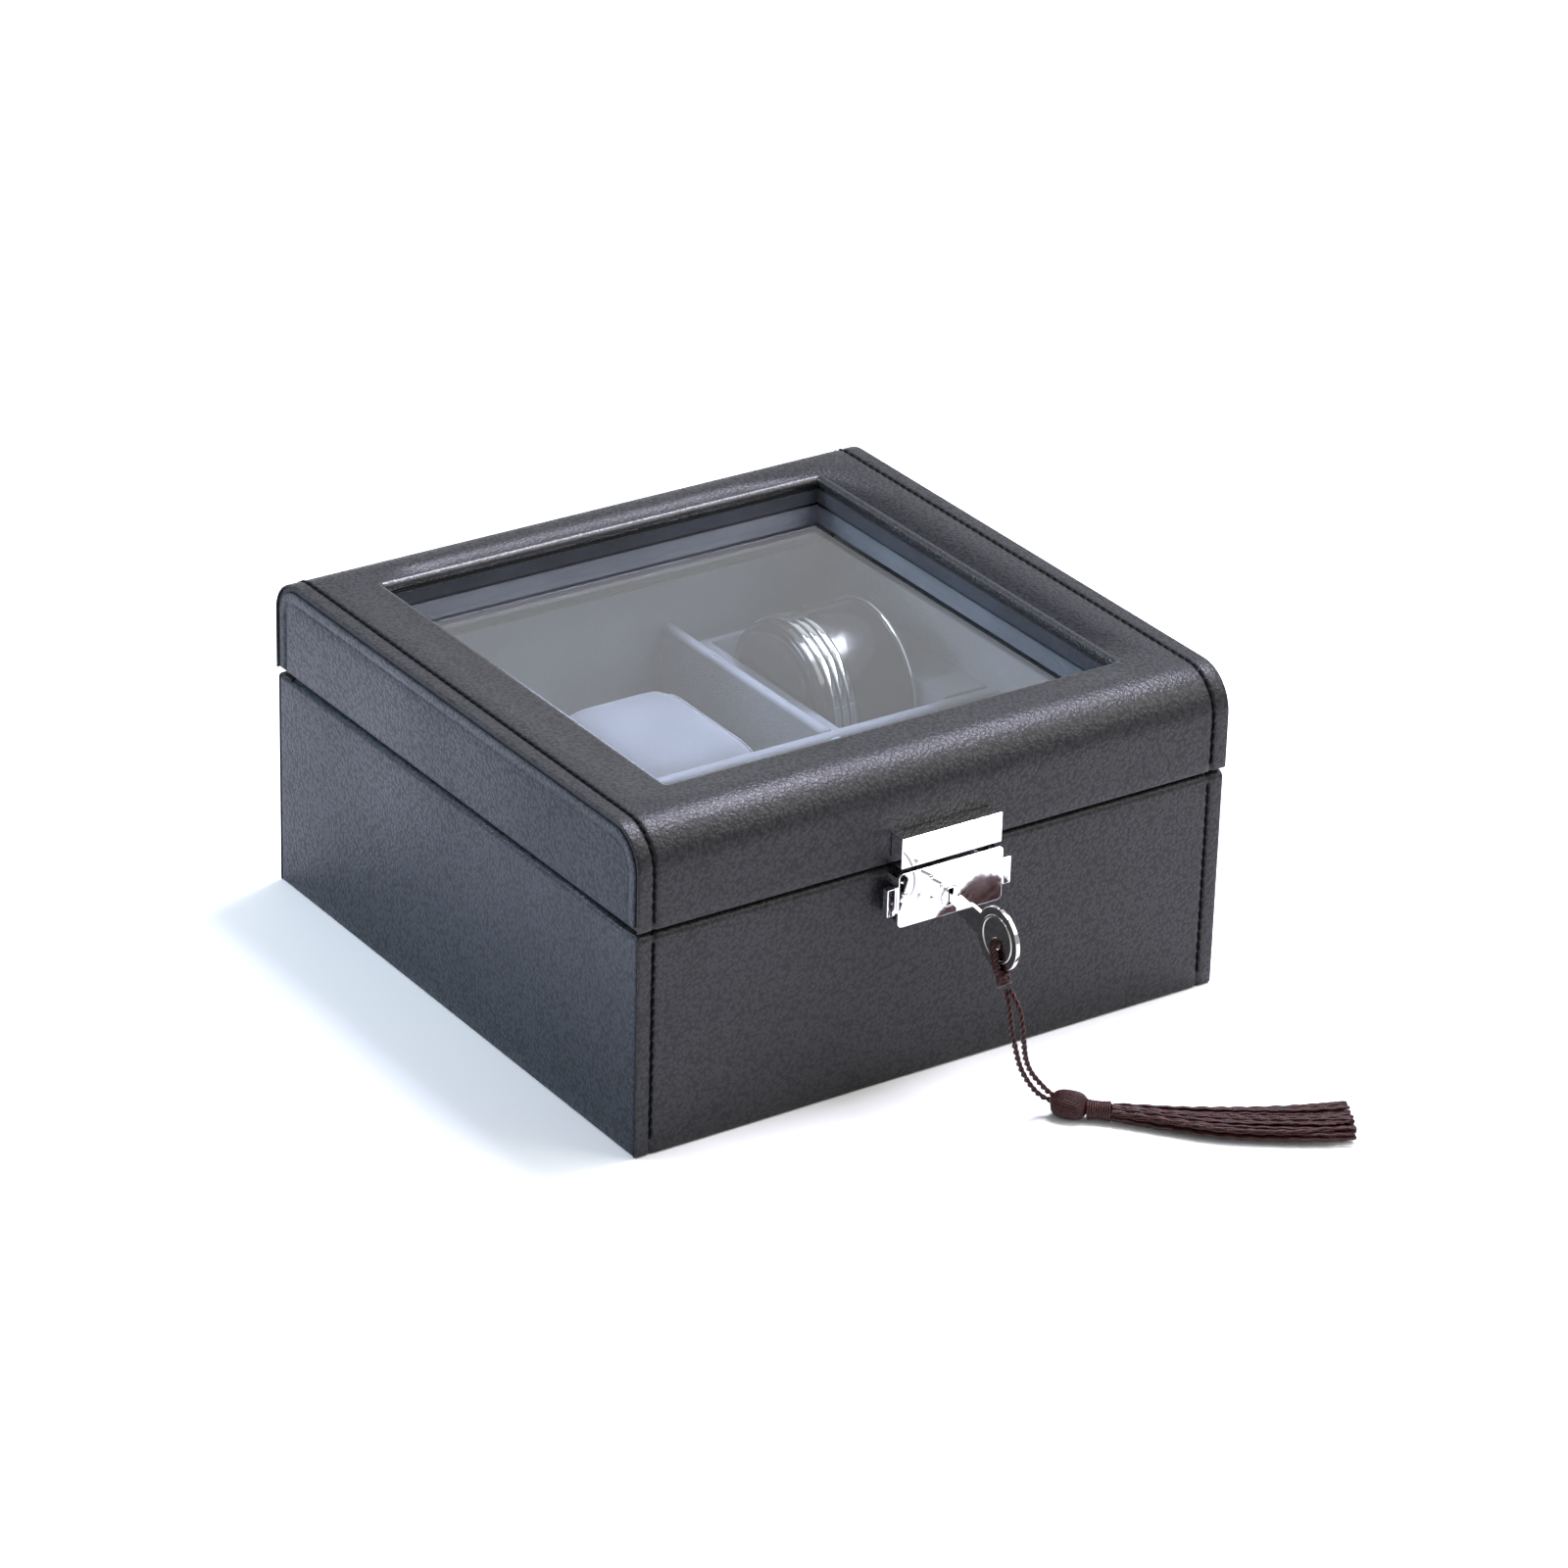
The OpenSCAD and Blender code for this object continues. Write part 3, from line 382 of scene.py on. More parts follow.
@dataclass
class Finishes:
    """Every finish of the box, built once and shared."""

    grey: Leather = Leather("embossed bonded leather, charcoal", "#292A2C", "#121214")
    roll: Leather = Leather("stretched bonded leather, charcoal", "#303134", "#1C1C1E", 0.9, 0.24,
                            0.06, 0.5)
    # The side panels are the same charcoal leather as the skins; this copy's blue tint is a
    # painted cast of the blue side light.
    blue: Leather = Leather("embossed bonded leather, blue grey", "#252E38", "#10151B",
                            specular=0.2)
    suede: Velvet = Velvet("napped suede, slate", "#1C1F27", "#3A3F4C", 0.3)
    velvet: Velvet = Velvet("short-pile velvet, dove grey", "#454A53", "#5F6671")
    # Painted reflection: the lid lining and the glass retainer are painted pale to stand in for
    # the glass's reflection over them.
    ledge: Velvet = Velvet("short-pile velvet, painted pale as the glass reflection", "#66676B", "#7E7F83", 0.1)
    felt: Velvet = Velvet("pressed felt, black", "#1B1C20", "#2B2C31", 0.2)
    board: Board = Board("dyed fibreboard, black", "#141416", "#232327")
    glass: WindowGlass = WindowGlass("float glass, clear", "#F4F7F8")
    chrome: Metal = Metal("chromed zinc, polished", "#EDEDF0", 0.035)
    nickel: Metal = Metal("nickel-plated brass, polished", "#CFCDC8", 0.05)
    steel: Metal = Metal("zinc-plated steel, rolled", "#B4B7BB", 0.28, 0.15)
    brass: Metal = Metal("brass, satin", "#C2A05A", 0.26, 0.15)
    gloss: Plastic = Plastic("abs, black polished", "#121214", 0.16, 0.03, 0.8)
    plastic: Plastic = Plastic("abs, black fine-textured", "#17171A", 0.5, 0.35)
    # The glint colours of the thread and the cord are painted glints.
    thread: Yarn = Yarn("bonded polyester thread, black", "#020203", "#070708", 0.6, 0.3, 0.12)
    cord: Yarn = Yarn("twisted viscose cord, oxblood brown", "#170807", "#4A1A14", 0.3)
    made: dict = field(default_factory=dict)

    def of(self, name: str) -> bpy.types.Material:
        """The material of a finish, built the first time it is asked for.

        Args:
            name: the finish's name.

        Returns:
            The material.
        """
        if name not in self.made:
            self.made[name] = getattr(self, name).material()
        return self.made[name]


# ---------------------------------------------------------------- mesh helpers


@dataclass
class Workshop:
    """What every sub-assembly shares: the frame, the finishes and the way to finish a piece."""

    frame: dict
    finishes: Finishes

    def piece(self, bm: bmesh.types.BMesh, name: str, finish: str) -> bpy.types.Object:
        """Turns a bmesh in metres into a shaded object at the origin.

        Args:
            bm: the mesh, which is freed.
            name: the piece's name.
            finish: name of one of the finishes.

        Returns:
            The object, linked to the scene.
        """
        mesh = bpy.data.meshes.new(name)
        bm.to_mesh(mesh)
        bm.free()
        return self.dressed(mesh, name, finish)

    def dressed(self, mesh: bpy.types.Mesh, name: str, finish: str) -> bpy.types.Object:
        """Links a mesh as an object with its finish and slot.

        Args:
            mesh: the piece's mesh.
            name: the piece's name.
            finish: name of one of the finishes.

        Returns:
            The object.
        """
        mesh.materials.clear()
        mesh.materials.append(self.finishes.of(finish))
        mesh.shade_smooth()
        obj = bpy.data.objects.new(name, mesh)
        bpy.context.scene.collection.objects.link(obj)
        return obj

    def from_curve(self, data: bpy.types.Curve, name: str, finish: str) -> bpy.types.Object:
        """Turns a curve into a mesh piece.

        Args:
            data: the curve, which is removed.
            name: the piece's name.
            finish: name of one of the finishes.

        Returns:
            The mesh object.
        """
        holder = bpy.data.objects.new(name + "_line", data)
        bpy.context.scene.collection.objects.link(holder)
        graph = bpy.context.evaluated_depsgraph_get()
        mesh = bpy.data.meshes.new_from_object(holder.evaluated_get(graph))
        mesh.name = name
        bpy.data.objects.remove(holder)
        return self.dressed(mesh, name, finish)

    def settle(self, obj: bpy.types.Object, body: Body, *nodes: str) -> bpy.types.Object:
        """Rides a piece on its body, replaces its CAD nodes and reports it.

        Args:
            obj: the piece.
            body: the body that it moves with.
            nodes: the CAD nodes that it stands for, if any.

        Returns:
            The same object.
        """
        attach(obj, body.value)
        if nodes:
            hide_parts(*nodes)
        LOG.info("%s rides on %s", obj.name, body.value)
        return obj

    def refined(self, node: str, finish: str, body: Body, edge: float,
                segments: int = 2, angle: float = 32.0) -> bpy.types.Object:
        """Replaces a CAD node by a copy of it with softened edges.

        Args:
            node: the CAD node.
            finish: name of one of the finishes.
            body: the body that it rides on.
            edge: radius of its edges in millimetres.
            segments: faces across an edge.
            angle: edges sharper than this are softened, in degrees.

        Returns:
            The new piece.
        """
        bm = bmesh.new()
        bm.from_mesh(self.frame["nodes"][node].data)
        bmesh.ops.remove_doubles(bm, verts=bm.verts, dist=mm(0.002))
        bmesh.ops.dissolve_limit(bm, angle_limit=math.radians(0.6), verts=bm.verts,
                                 edges=bm.edges, delimit=set())
        sharp = [e for e in bm.edges if len(e.link_faces) == 2
                 and e.calc_face_angle(0.0) > math.radians(angle)]
        bmesh.ops.bevel(bm, geom=sharp, offset=mm(edge), segments=segments, profile=0.5,
                        affect="EDGES", clamp_overlap=True, material=-1)
        obj = self.piece(bm, node + "_soft", finish)
        obj.data.set_sharp_from_angle(angle=math.radians(38))
        obj.modifiers.new("even_shading", "WEIGHTED_NORMAL").keep_sharp = True
        return self.settle(obj, body, node)

    def dress(self, finish: str, *nodes: str) -> None:
        """Gives CAD nodes that stay as they are one of the finishes.

        Args:
            finish: name of one of the finishes.
            nodes: the nodes.
        """
        for node in nodes:
            for held in self.frame["nodes"][node].material_slots:
                held.material = self.finishes.of(finish)


def extrude_chain(points: list[Point], steps: list[float], axis: Vector) -> bmesh.types.BMesh:
    """Extrudes an open chain of points along an axis, one strip of faces to each step.

    Args:
        points: the chain at the first step, in millimetres.
        steps: positions along the axis, in millimetres.
        axis: the direction of extrusion.

    Returns:
        A bmesh in metres.
    """
    bm = bmesh.new()
    verts = [bm.verts.new(vec(p) + axis * mm(steps[0])) for p in points]
    edges = [bm.edges.new(pair) for pair in zip(verts, verts[1:])]
    for low, high in zip(steps, steps[1:]):
        made = bmesh.ops.extrude_edge_only(bm, edges=edges)["geom"]
        edges = [g for g in made if isinstance(g, bmesh.types.BMEdge)
                 and all(v in made for v in g.verts)]
        moved = [g for g in made if isinstance(g, bmesh.types.BMVert)]
        kept = set(moved)
        edges = [e for e in edges if e.verts[0] in kept and e.verts[1] in kept]
        bmesh.ops.translate(bm, verts=moved, vec=axis * mm(high - low))
    bmesh.ops.remove_doubles(bm, verts=bm.verts, dist=mm(0.001))
    return bm


def arc(centre: Flat, radius: float, start: float, end: float, count: int) -> list[Flat]:
    """Points of an arc.

    Args:
        centre: centre of the circle.
        radius: its radius.
        start: first angle in degrees.
        end: last angle in degrees.
        count: number of stretches.

    Returns:
        count + 1 points.
    """
    angles = [math.radians(start + (end - start) * i / count) for i in range(count + 1)]
    return [(centre[0] + radius * math.cos(a), centre[1] + radius * math.sin(a)) for a in angles]


def smooth_route(points: list[Point], per: int) -> list[Vector]:
    """Points of a smooth curve through a route, in metres.

    Args:
        points: the route in millimetres.
        per: points on each stretch.

    Returns:
        The curve's points.
    """
    p = [Vector(q) for q in points]
    out = []
    for i in range(len(p) - 1):
        a, b, c, d = p[max(i - 1, 0)], p[i], p[i + 1], p[min(i + 2, len(p) - 1)]
        for k in range(per):
            t = k / per
            out.append(0.5 * (2 * b + (c - a) * t + (2 * a - 5 * b + 4 * c - d) * t * t
                              + (3 * b - a - 3 * c + d) * t ** 3))
    out.append(p[-1])
    return [q / 1000 for q in out]


def frames_along(points: list[Vector]) -> list[tuple[Vector, Vector, Vector]]:
    """A direction and two steady crosswise directions at each point of a route.

    Args:
        points: the route.

    Returns:
        One such triple for each point.
    """
    out = []
    side = None
    for i, _ in enumerate(points):
        ahead = (points[min(i + 1, len(points) - 1)] - points[max(i - 1, 0)]).normalized()
        if side is None:
            side = ahead.orthogonal().normalized()
        side = (side - side.dot(ahead) * ahead).normalized()
        out.append((ahead, side, ahead.cross(side)))
    return out


def thread_curve(name: str, lines: list[list[Vector]], radius: float, sides: int = 1,
                 closed: bool = False) -> bpy.types.Curve:
    """A curve of round threads.

    Args:
        name: the curve's name.
        lines: the points of each thread, in metres.
        radius: thread radius in millimetres.
        sides: roundness of the thread, 0 for four sides and 1 for six.
        closed: whether each thread closes on itself.

    Returns:
        The curve.
    """
    data = bpy.data.curves.new(name, "CURVE")
    data.dimensions = "3D"
    data.bevel_depth = mm(radius)
    data.bevel_resolution = sides
    data.use_fill_caps = not closed
    for line in lines:
        spline = data.splines.new("POLY")
        spline.points.add(len(line) - 1)
        spline.points.foreach_set("co", [c for p in line for c in (*p, 1.0)])
        spline.use_cyclic_u = closed
    return data


# ---------------------------------------------------------------- the case


@dataclass
class SeamLine:
    """A sewn line: where it lies across the skin, and how its stitches lie along it."""

    offset: float
    pitch: float = 3.4
    stitch: float = 2.9
    radius: float = 0.44
    slant: float = 0.28

    def stitches(self, chain: list[Vector], inward: list[Vector], across: Vector
                 ) -> list[list[Vector]]:
        """Stitches along a chain of points.

        Args:
            chain: the seam's points, in metres, close together.
            inward: the direction into the skin at each point.
            across: the direction across the seam.

        Returns:
            The points of each stitch, which dips into the leather at both ends.
        """
        spots = [0.0]
        for a, b in zip(chain, chain[1:]):
            spots.append(spots[-1] + (b - a).length)
        out = []
        start = mm(1.2)
        while start + mm(self.stitch) < spots[-1] - mm(0.8):
            line = []
            for share in (0.0, 0.12, 0.35, 0.65, 0.88, 1.0):
                at = start + mm(self.stitch) * share
                i = max(k for k, s in enumerate(spots) if s <= at + 1e-9)
                i = min(i, len(chain) - 2)
                t = (at - spots[i]) / max(spots[i + 1] - spots[i], 1e-9)
                p = chain[i].lerp(chain[i + 1], t)
                n = inward[i].lerp(inward[i + 1], t).normalized()
                dip = 0.75 if share in (0.0, 1.0) else 0.3 if share in (0.12, 0.88) else 0.12
                line.append(p + n * mm(dip) + across * mm(self.slant) * (share - 0.5) * 2)
            out.append(line)
            start += mm(self.pitch)
        return out


@dataclass
class SkinEdge:
    """Cross-section steps of a leather skin, from its cut edge inwards: place and depth."""

    rounding: tuple[Flat, ...] = ((0.0, 0.38), (0.1, 0.2), (0.3, 0.07), (0.7, 0.0), (1.6, 0.0))
    groove: tuple[Flat, ...] = ((-2.4, 0.0), (-1.3, 0.05), (-0.7, 0.14), (-0.35, 0.45),
                                (0.0, 0.62), (0.35, 0.45), (0.7, 0.14), (1.3, 0.05), (2.4, 0.0))

    def steps(self, half: float, seam: float) -> list[Flat]:
        """Positions across a skin of a half width with a seam, each with its depth.

        Args:
            half: half the skin's width.
            seam: the seam's distance from the middle.

        Returns:
            Pairs of a position and a depth, in millimetres.
        """
        side = [(half - a, d) for a, d in self.rounding]
        side += [(seam - a, d) for a, d in self.groove]
        side.sort()
        return [(-x, d) for x, d in reversed(side)] + side


@dataclass
class Lid:
    """The lid: one skin over front, top and back, a panel on each side, and the window."""

    half_x: float = 100.0
    half_y: float = 98.6
    bottom: float = 70.2
    top: float = 100.0
    front_r: float = 13.0
    back_r: float = 11.0
    window_half: Flat = (76.0, 75.5)
    window_y: float = 1.0
    bead_r: float = 1.8
    skin: float = 0.8
    wall: float = 7.8
    seam_x: float = 94.6
    edge: SkinEdge = field(default_factory=SkinEdge)

    def outline(self, inset: float, bottom: float, fine: int = 14) -> list[Flat]:
        """The lid's side view from the front's foot over the top to the back's foot.

        Args:
            inset: how far inside the outer face.
            bottom: height of its feet.
            fine: points on each bend.

        Returns:
            The points, as Y and Z in millimetres.
        """
        yf, yb, zt = -self.half_y + inset, self.half_y - inset, self.top - inset
        rf, rb = self.front_r - inset, self.back_r - inset
        front = arc((yf + rf, zt - rf), rf, 180, 90, fine)
        back = arc((yb - rb, zt - rb), rb, 90, 0, fine)
        return [(yf, bottom)] + front + back + [(yb, bottom)]

    def outward(self, y: float, z: float) -> Vector:
        """The direction out of the skin at a point of its outline.

        Args:
            y: place of the point.
            z: height of the point.

        Returns:
            The direction, of length one.
        """
        front = (-self.half_y + self.front_r, self.top - self.front_r)
        back = (self.half_y - self.back_r, self.top - self.back_r)
        if y < front[0]:
            return Vector((0, y - front[0], max(z - front[1], 0))).normalized()
        if y > back[0]:
            return Vector((0, y - back[0], max(z - back[1], 0))).normalized()
        return Vector((0, 0, 1))

    def chain(self) -> list[Flat]:
        """The skin's outline with the lines it needs at the window and along its walls.

        Returns:
            The points, as Y and Z in millimetres.
        """
        points = self.outline(0.0, self.bottom + 0.5)
        cuts = [self.window_y + s * (self.window_half[1] + self.bead_r) for s in (-1, 1)]
        at = next(i for i, (p, q) in enumerate(zip(points, points[1:])) if q[0] - p[0] > 50)
        mids = [self.window_y + self.window_half[1] * t for t in (-0.66, -0.33, 0, 0.33, 0.66)]
        points[at + 1 : at + 1] = [(y, self.top) for y in sorted(cuts + mids)]
        low = self.bottom + 0.5
        foot = [(-self.half_y + 0.5, self.bottom), (-self.half_y + 0.14, self.bottom + 0.14)]
        rise = [(-self.half_y, low + t) for t in (3, 7, 11)]
        fall = [(self.half_y, z) for _, z in reversed(rise)]
        back_foot = [(-y, z) for y, z in reversed(foot)]
        return foot + points[:1] + rise + points[1:-1] + fall + points[-1:] + back_foot

    def build_skin(self, shop: Workshop) -> None:
        """Makes the skin with its window opening, sewn grooves and soft edges."""
        steps = self.edge.steps(self.half_x, self.seam_x)
        cut = self.window_half[0] + self.bead_r
        steps = sorted(steps + [(x, 0.0) for x in (-cut, cut, -50.0, -25.0, 0.0, 25.0, 50.0)])
        depth = {round(x, 3): d for x, d in steps}
        bm = extrude_chain([(0, y, z) for y, z in self.chain()], [x for x, _ in steps],
                           Vector((1, 0, 0)))
        low = mm(self.window_y - self.window_half[1] - self.bead_r)
        high = mm(self.window_y + self.window_half[1] + self.bead_r)
        inside = [f for f in bm.faces if abs(f.calc_center_median().x) < mm(cut)
                  and low < f.calc_center_median().y < high
                  and f.calc_center_median().z > mm(self.top - 0.5)]
        bmesh.ops.delete(bm, geom=inside, context="FACES")
        for v in bm.verts:
            out = self.outward(v.co.y * 1000, v.co.z * 1000)
            v.co -= out * mm(depth[round(v.co.x * 1000, 3)])
        if next(f for f in bm.faces if f.calc_center_median().z > mm(self.top - 0.6)).normal.z < 0:
            bmesh.ops.reverse_faces(bm, faces=bm.faces)
        obj = shop.piece(bm, "lid_skin", "grey")
        shell = obj.modifiers.new("thickness", "SOLIDIFY")
        shell.thickness, shell.offset = mm(self.skin), -1.0
        shop.settle(obj, Body.LID, "lid_leather_wrap")

    def build_rim(self, shop: Workshop) -> None:
        """Makes the leather turned in under the lid's four walls."""
        bm = bmesh.new()
        bmesh.ops.create_cube(bm, size=1.0)
        low, high = self.bottom + 0.03, self.bottom + self.skin + 0.1
        size = Vector((2 * self.half_x - 1.6, 2 * self.half_y - 1.2, high - low)) / 1000
        bmesh.ops.scale(bm, verts=bm.verts, vec=size)
        bmesh.ops.translate(bm, verts=bm.verts, vec=vec((0, 0, (low + high) / 2)))
        caps = [f for f in bm.faces if abs(f.normal.z) > 0.9]
        bmesh.ops.inset_region(bm, faces=caps, thickness=mm(self.wall - 0.8), use_even_offset=True)
        holes = [f for f in bm.faces if abs(f.normal.z) > 0.9
                 and f.calc_center_median().xy.length < mm(1)]
        loops = [e for f in holes for e in f.edges]
        bmesh.ops.delete(bm, geom=holes, context="FACES_ONLY")
        bmesh.ops.bridge_loops(bm, edges=loops)
        bmesh.ops.recalc_face_normals(bm, faces=bm.faces)
        sharp = [e for e in bm.edges if e.calc_face_angle(0.0) > 1.0]
        bmesh.ops.bevel(bm, geom=sharp, offset=mm(0.35), segments=2, profile=0.5,
                        affect="EDGES", clamp_overlap=True, material=-1)
        shop.settle(shop.piece(bm, "lid_rim", "grey"), Body.LID)

    def build_sides(self, shop: Workshop) -> None:
        """Makes the two inset side panels, each with a soft rim and a pressed line inside it."""
        rings = ((0.05, 0.4), (0.12, 0.24), (0.3, 0.14), (0.5, 0.04), (1.6, -0.02),
                 (0.4, -0.12), (0.3, -0.2), (0.3, -0.04), (0.4, 0.12), (0.6, 0.12))
        for side, name in ((-1, "lid_side_left"), (1, "lid_side_right")):
            outline = self.outline(2.1, self.bottom - 6, 12)
            x = self.half_x - 1.05
            bm = bmesh.new()
            verts = [bm.verts.new(vec((x, y, z))) for y, z in outline]
            face = bm.faces.new(verts)
            bm.normal_update()
            if face.normal.x < 0:
                bmesh.ops.reverse_faces(bm, faces=[face])
            bevelled = bmesh.ops.extrude_face_region(bm, geom=[face])
            top = next(g for g in bevelled["geom"] if isinstance(g, bmesh.types.BMFace))
            bmesh.ops.translate(bm, verts=top.verts, vec=(mm(0.1), 0, 0))
            for inset, rise in rings:
                bmesh.ops.inset_region(bm, faces=[top], thickness=mm(inset),
                                       depth=mm(rise), use_even_offset=True)
            bmesh.ops.bisect_plane(bm, geom=[*bm.verts, *bm.edges, *bm.faces],
                                   plane_co=vec((0, 0, self.bottom + 1.3)),
                                   plane_no=(0, 0, -1), clear_outer=True)
            rim = [e for e in bm.edges if e.is_boundary]
            bmesh.ops.holes_fill(bm, edges=rim, sides=0)
            if side < 0:
                bmesh.ops.scale(bm, verts=bm.verts, vec=(-1, 1, 1))
                bmesh.ops.reverse_faces(bm, faces=bm.faces)
            # The side panels take the leather with the painted blue cast of the side light.
            obj = shop.piece(bm, name, "blue")
            obj.data.set_sharp_from_angle(angle=math.radians(50))
            shop.settle(obj, Body.LID, "lid_leather_sides")

    def build_bead(self, shop: Workshop) -> None:
        """Makes the leather roll around the window opening."""
        a, b = self.window_half[0] + self.bead_r, self.window_half[1] + self.bead_r
        corner = 2.2
        line: list[Vector] = []
        for cx, cy, start in ((1, 1, 0), (-1, 1, 90), (-1, -1, 180), (1, -1, 270)):
            centre = (cx * (a - corner), self.window_y + cy * (b - corner))
            line += [vec((x, y, self.top - self.bead_r - 0.02))
                     for x, y in arc(centre, corner, start, start + 90, 6)]
        curve = thread_curve("window_roll", [line], self.bead_r, 4, closed=True)
        shop.settle(shop.from_curve(curve, "window_roll", "roll"), Body.LID, "window_bead")

    def build_stitches(self, shop: Workshop) -> None:
        """Sews the two lines that run over the front, the top and the back."""
        seam = SeamLine(self.seam_x)
        flat = self.outline(0.0, self.bottom + 1.0, 40)
        dense: list[Flat] = []
        for (ya, za), (yb, zb) in zip(flat, flat[1:]):
            count = max(1, round(math.hypot(yb - ya, zb - za) / 1.5))
            dense += [(ya + (yb - ya) * k / count, za + (zb - za) * k / count)
                      for k in range(count)]
        dense.append(flat[-1])
        lines = []
        for side in (-1, 1):
            chain = [vec((side * seam.offset, y, z)) for y, z in dense]
            inward = [-self.outward(y, z) for y, z in dense]
            lines += seam.stitches(chain, inward, Vector((side, 0, 0)))
        curve = thread_curve("lid_stitches", lines, seam.radius)
        shop.settle(shop.from_curve(curve, "lid_stitches", "thread"), Body.LID)

    def build(self, shop: Workshop) -> None:
        """Makes the lid's pieces and dresses its inner ones."""
        self.build_skin(shop)
        self.build_rim(shop)
        self.build_sides(shop)
        self.build_bead(shop)
        self.build_stitches(shop)
        shop.dress("board", "lid_front_board", "lid_back_board", "lid_left_board",
                   "lid_right_board", "lid_top_board")
        shop.dress("suede", "window_edging")
        # The lining and the retainer take velvet painted pale as the glass reflection.
        shop.dress("ledge", "lid_lining", "glass_retainer")
        shop.dress("glass", "window_glass")


@dataclass
class Base:
    """The base: a skin on the front and the back, each turned over the rim, and two sides."""

    half_x: float = 99.5
    half_y: float = 98.2
    top: float = 69.0
    edge_r: float = 2.2
    wall: float = 7.8
    skin: float = 0.8
    seam_x: float = 94.4
    edge: SkinEdge = field(default_factory=SkinEdge)

    def chain(self, half: float) -> list[Flat]:
        """The skin's section from the table up a wall and over the rim.

        Args:
            half: the wall's distance from the middle.

        Returns:
            The points, as Y and Z in millimetres.
        """
        foot = [(-half + 0.7, 0.22), (-half + 0.25, 0.4), (-half, 0.95)]
        rise = [(-half, z) for z in (6, 18, 30, 42, 54, 62)]
        bend = arc((-half + self.edge_r, self.top - self.edge_r), self.edge_r, 180, 90, 8)
        return foot + rise + bend + [(-half + self.wall - 0.4, self.top),
                                     (-half + self.wall, self.top - 0.4)]

    def build_wraps(self, shop: Workshop) -> None:
        """Makes the front and the back skin, with their sewn grooves."""
        steps = self.edge.steps(self.half_x, self.seam_x)
        steps = sorted(steps + [(x, 0.0) for x in (-60.0, -30.0, 0.0, 30.0, 60.0)])
        depth = {round(x, 3): d for x, d in steps}
        centre = (-self.half_y + self.edge_r, self.top - self.edge_r)
        for side, name in ((-1, "base_front_skin"), (1, "base_back_skin")):
            bm = extrude_chain([(0, y, z) for y, z in self.chain(self.half_y)],
                               [x for x, _ in steps], Vector((1, 0, 0)))
            for v in bm.verts:
                y, z = v.co.y * 1000, v.co.z * 1000
                out = Vector((0, min(y - centre[0], 0), max(z - centre[1], 0)))
                out = out.normalized() if out.length > 1e-6 else Vector((0, 0, 1))
                v.co -= out * mm(depth[round(v.co.x * 1000, 3)])
            if side > 0:
                bmesh.ops.scale(bm, verts=bm.verts, vec=(1, -1, 1))
            bm.normal_update()
            probe = next(f for f in bm.faces if mm(20) < f.calc_center_median().z < mm(50))
            if probe.normal.y * side < 0:
                bmesh.ops.reverse_faces(bm, faces=bm.faces)
            obj = shop.piece(bm, name, "grey")
            shell = obj.modifiers.new("thickness", "SOLIDIFY")
            shell.thickness, shell.offset = mm(self.skin), -1.0
            shop.settle(obj, Body.BASE, "base_leather_wraps")

    def build_sides(self, shop: Workshop) -> None:
        """Makes the side panels, which run between the front and the back skin."""
        reach = self.half_y - self.skin - 0.1
        turn = self.half_y - self.wall - 0.05
        steps = [(reach, 0.5), (reach - 0.25, 0.18), (reach - 0.7, 0.03), (reach - 1.3, 0.0),
                 (turn + 0.06, 0.0), (turn, 0.0), (60.0, 0.0), (30.0, 0.0)]
        steps = sorted([(-y, d) for y, d in steps] + steps + [(0.0, 0.0)])
        depth = {round(y, 3): d for y, d in steps}
        for side, name in ((-1, "base_side_left"), (1, "base_side_right")):
            bm = extrude_chain([(x, 0, z) for x, z in self.chain(self.half_x)],
                               [y for y, _ in steps], Vector((0, 1, 0)))
            for v in bm.verts:
                v.co.x += mm(depth[round(v.co.y * 1000, 3)])
                if abs(v.co.y) > mm(turn + 0.03):
                    v.co.z = min(v.co.z, mm(self.top - self.skin - 0.1))
            if side > 0:
                bmesh.ops.scale(bm, verts=bm.verts, vec=(-1, 1, 1))
            bm.normal_update()
            probe = next(f for f in bm.faces if mm(20) < f.calc_center_median().z < mm(50))
            if probe.normal.x * side < 0:
                bmesh.ops.reverse_faces(bm, faces=bm.faces)
            # The side panels take the leather with the painted blue cast of the side light.
            obj = shop.piece(bm, name, "blue")
            shell = obj.modifiers.new("thickness", "SOLIDIFY")
            shell.thickness, shell.offset = mm(self.skin), -1.0
            shop.settle(obj, Body.BASE, "base_leather_sides")

    def build_stitches(self, shop: Workshop) -> None:
        """Sews the lines down the front and the back."""
        seam = SeamLine(self.seam_x)
        lines = []
        for face in (-1, 1):
            for side in (-1, 1):
                chain = [vec((side * seam.offset, face * self.half_y, 67 - k * 1.5))
                         for k in range(44)]
                inward = [Vector((0, -face, 0))] * len(chain)
                lines += seam.stitches(chain, inward, Vector((side, 0, 0)))
        curve = thread_curve("base_stitches", lines, seam.radius)
        shop.settle(shop.from_curve(curve, "base_stitches", "thread"), Body.BASE)

    def build(self, shop: Workshop) -> None:
        """Makes the base's skins and dresses its boards."""
        self.build_wraps(shop)
        self.build_sides(shop)
        self.build_stitches(shop)
        shop.dress("board", "base_bottom_board", "base_front_board", "base_back_board",
                   "base_left_board", "base_right_board")
        shop.dress("velvet", "base_lining")
        shop.dress("felt", "base_felt")


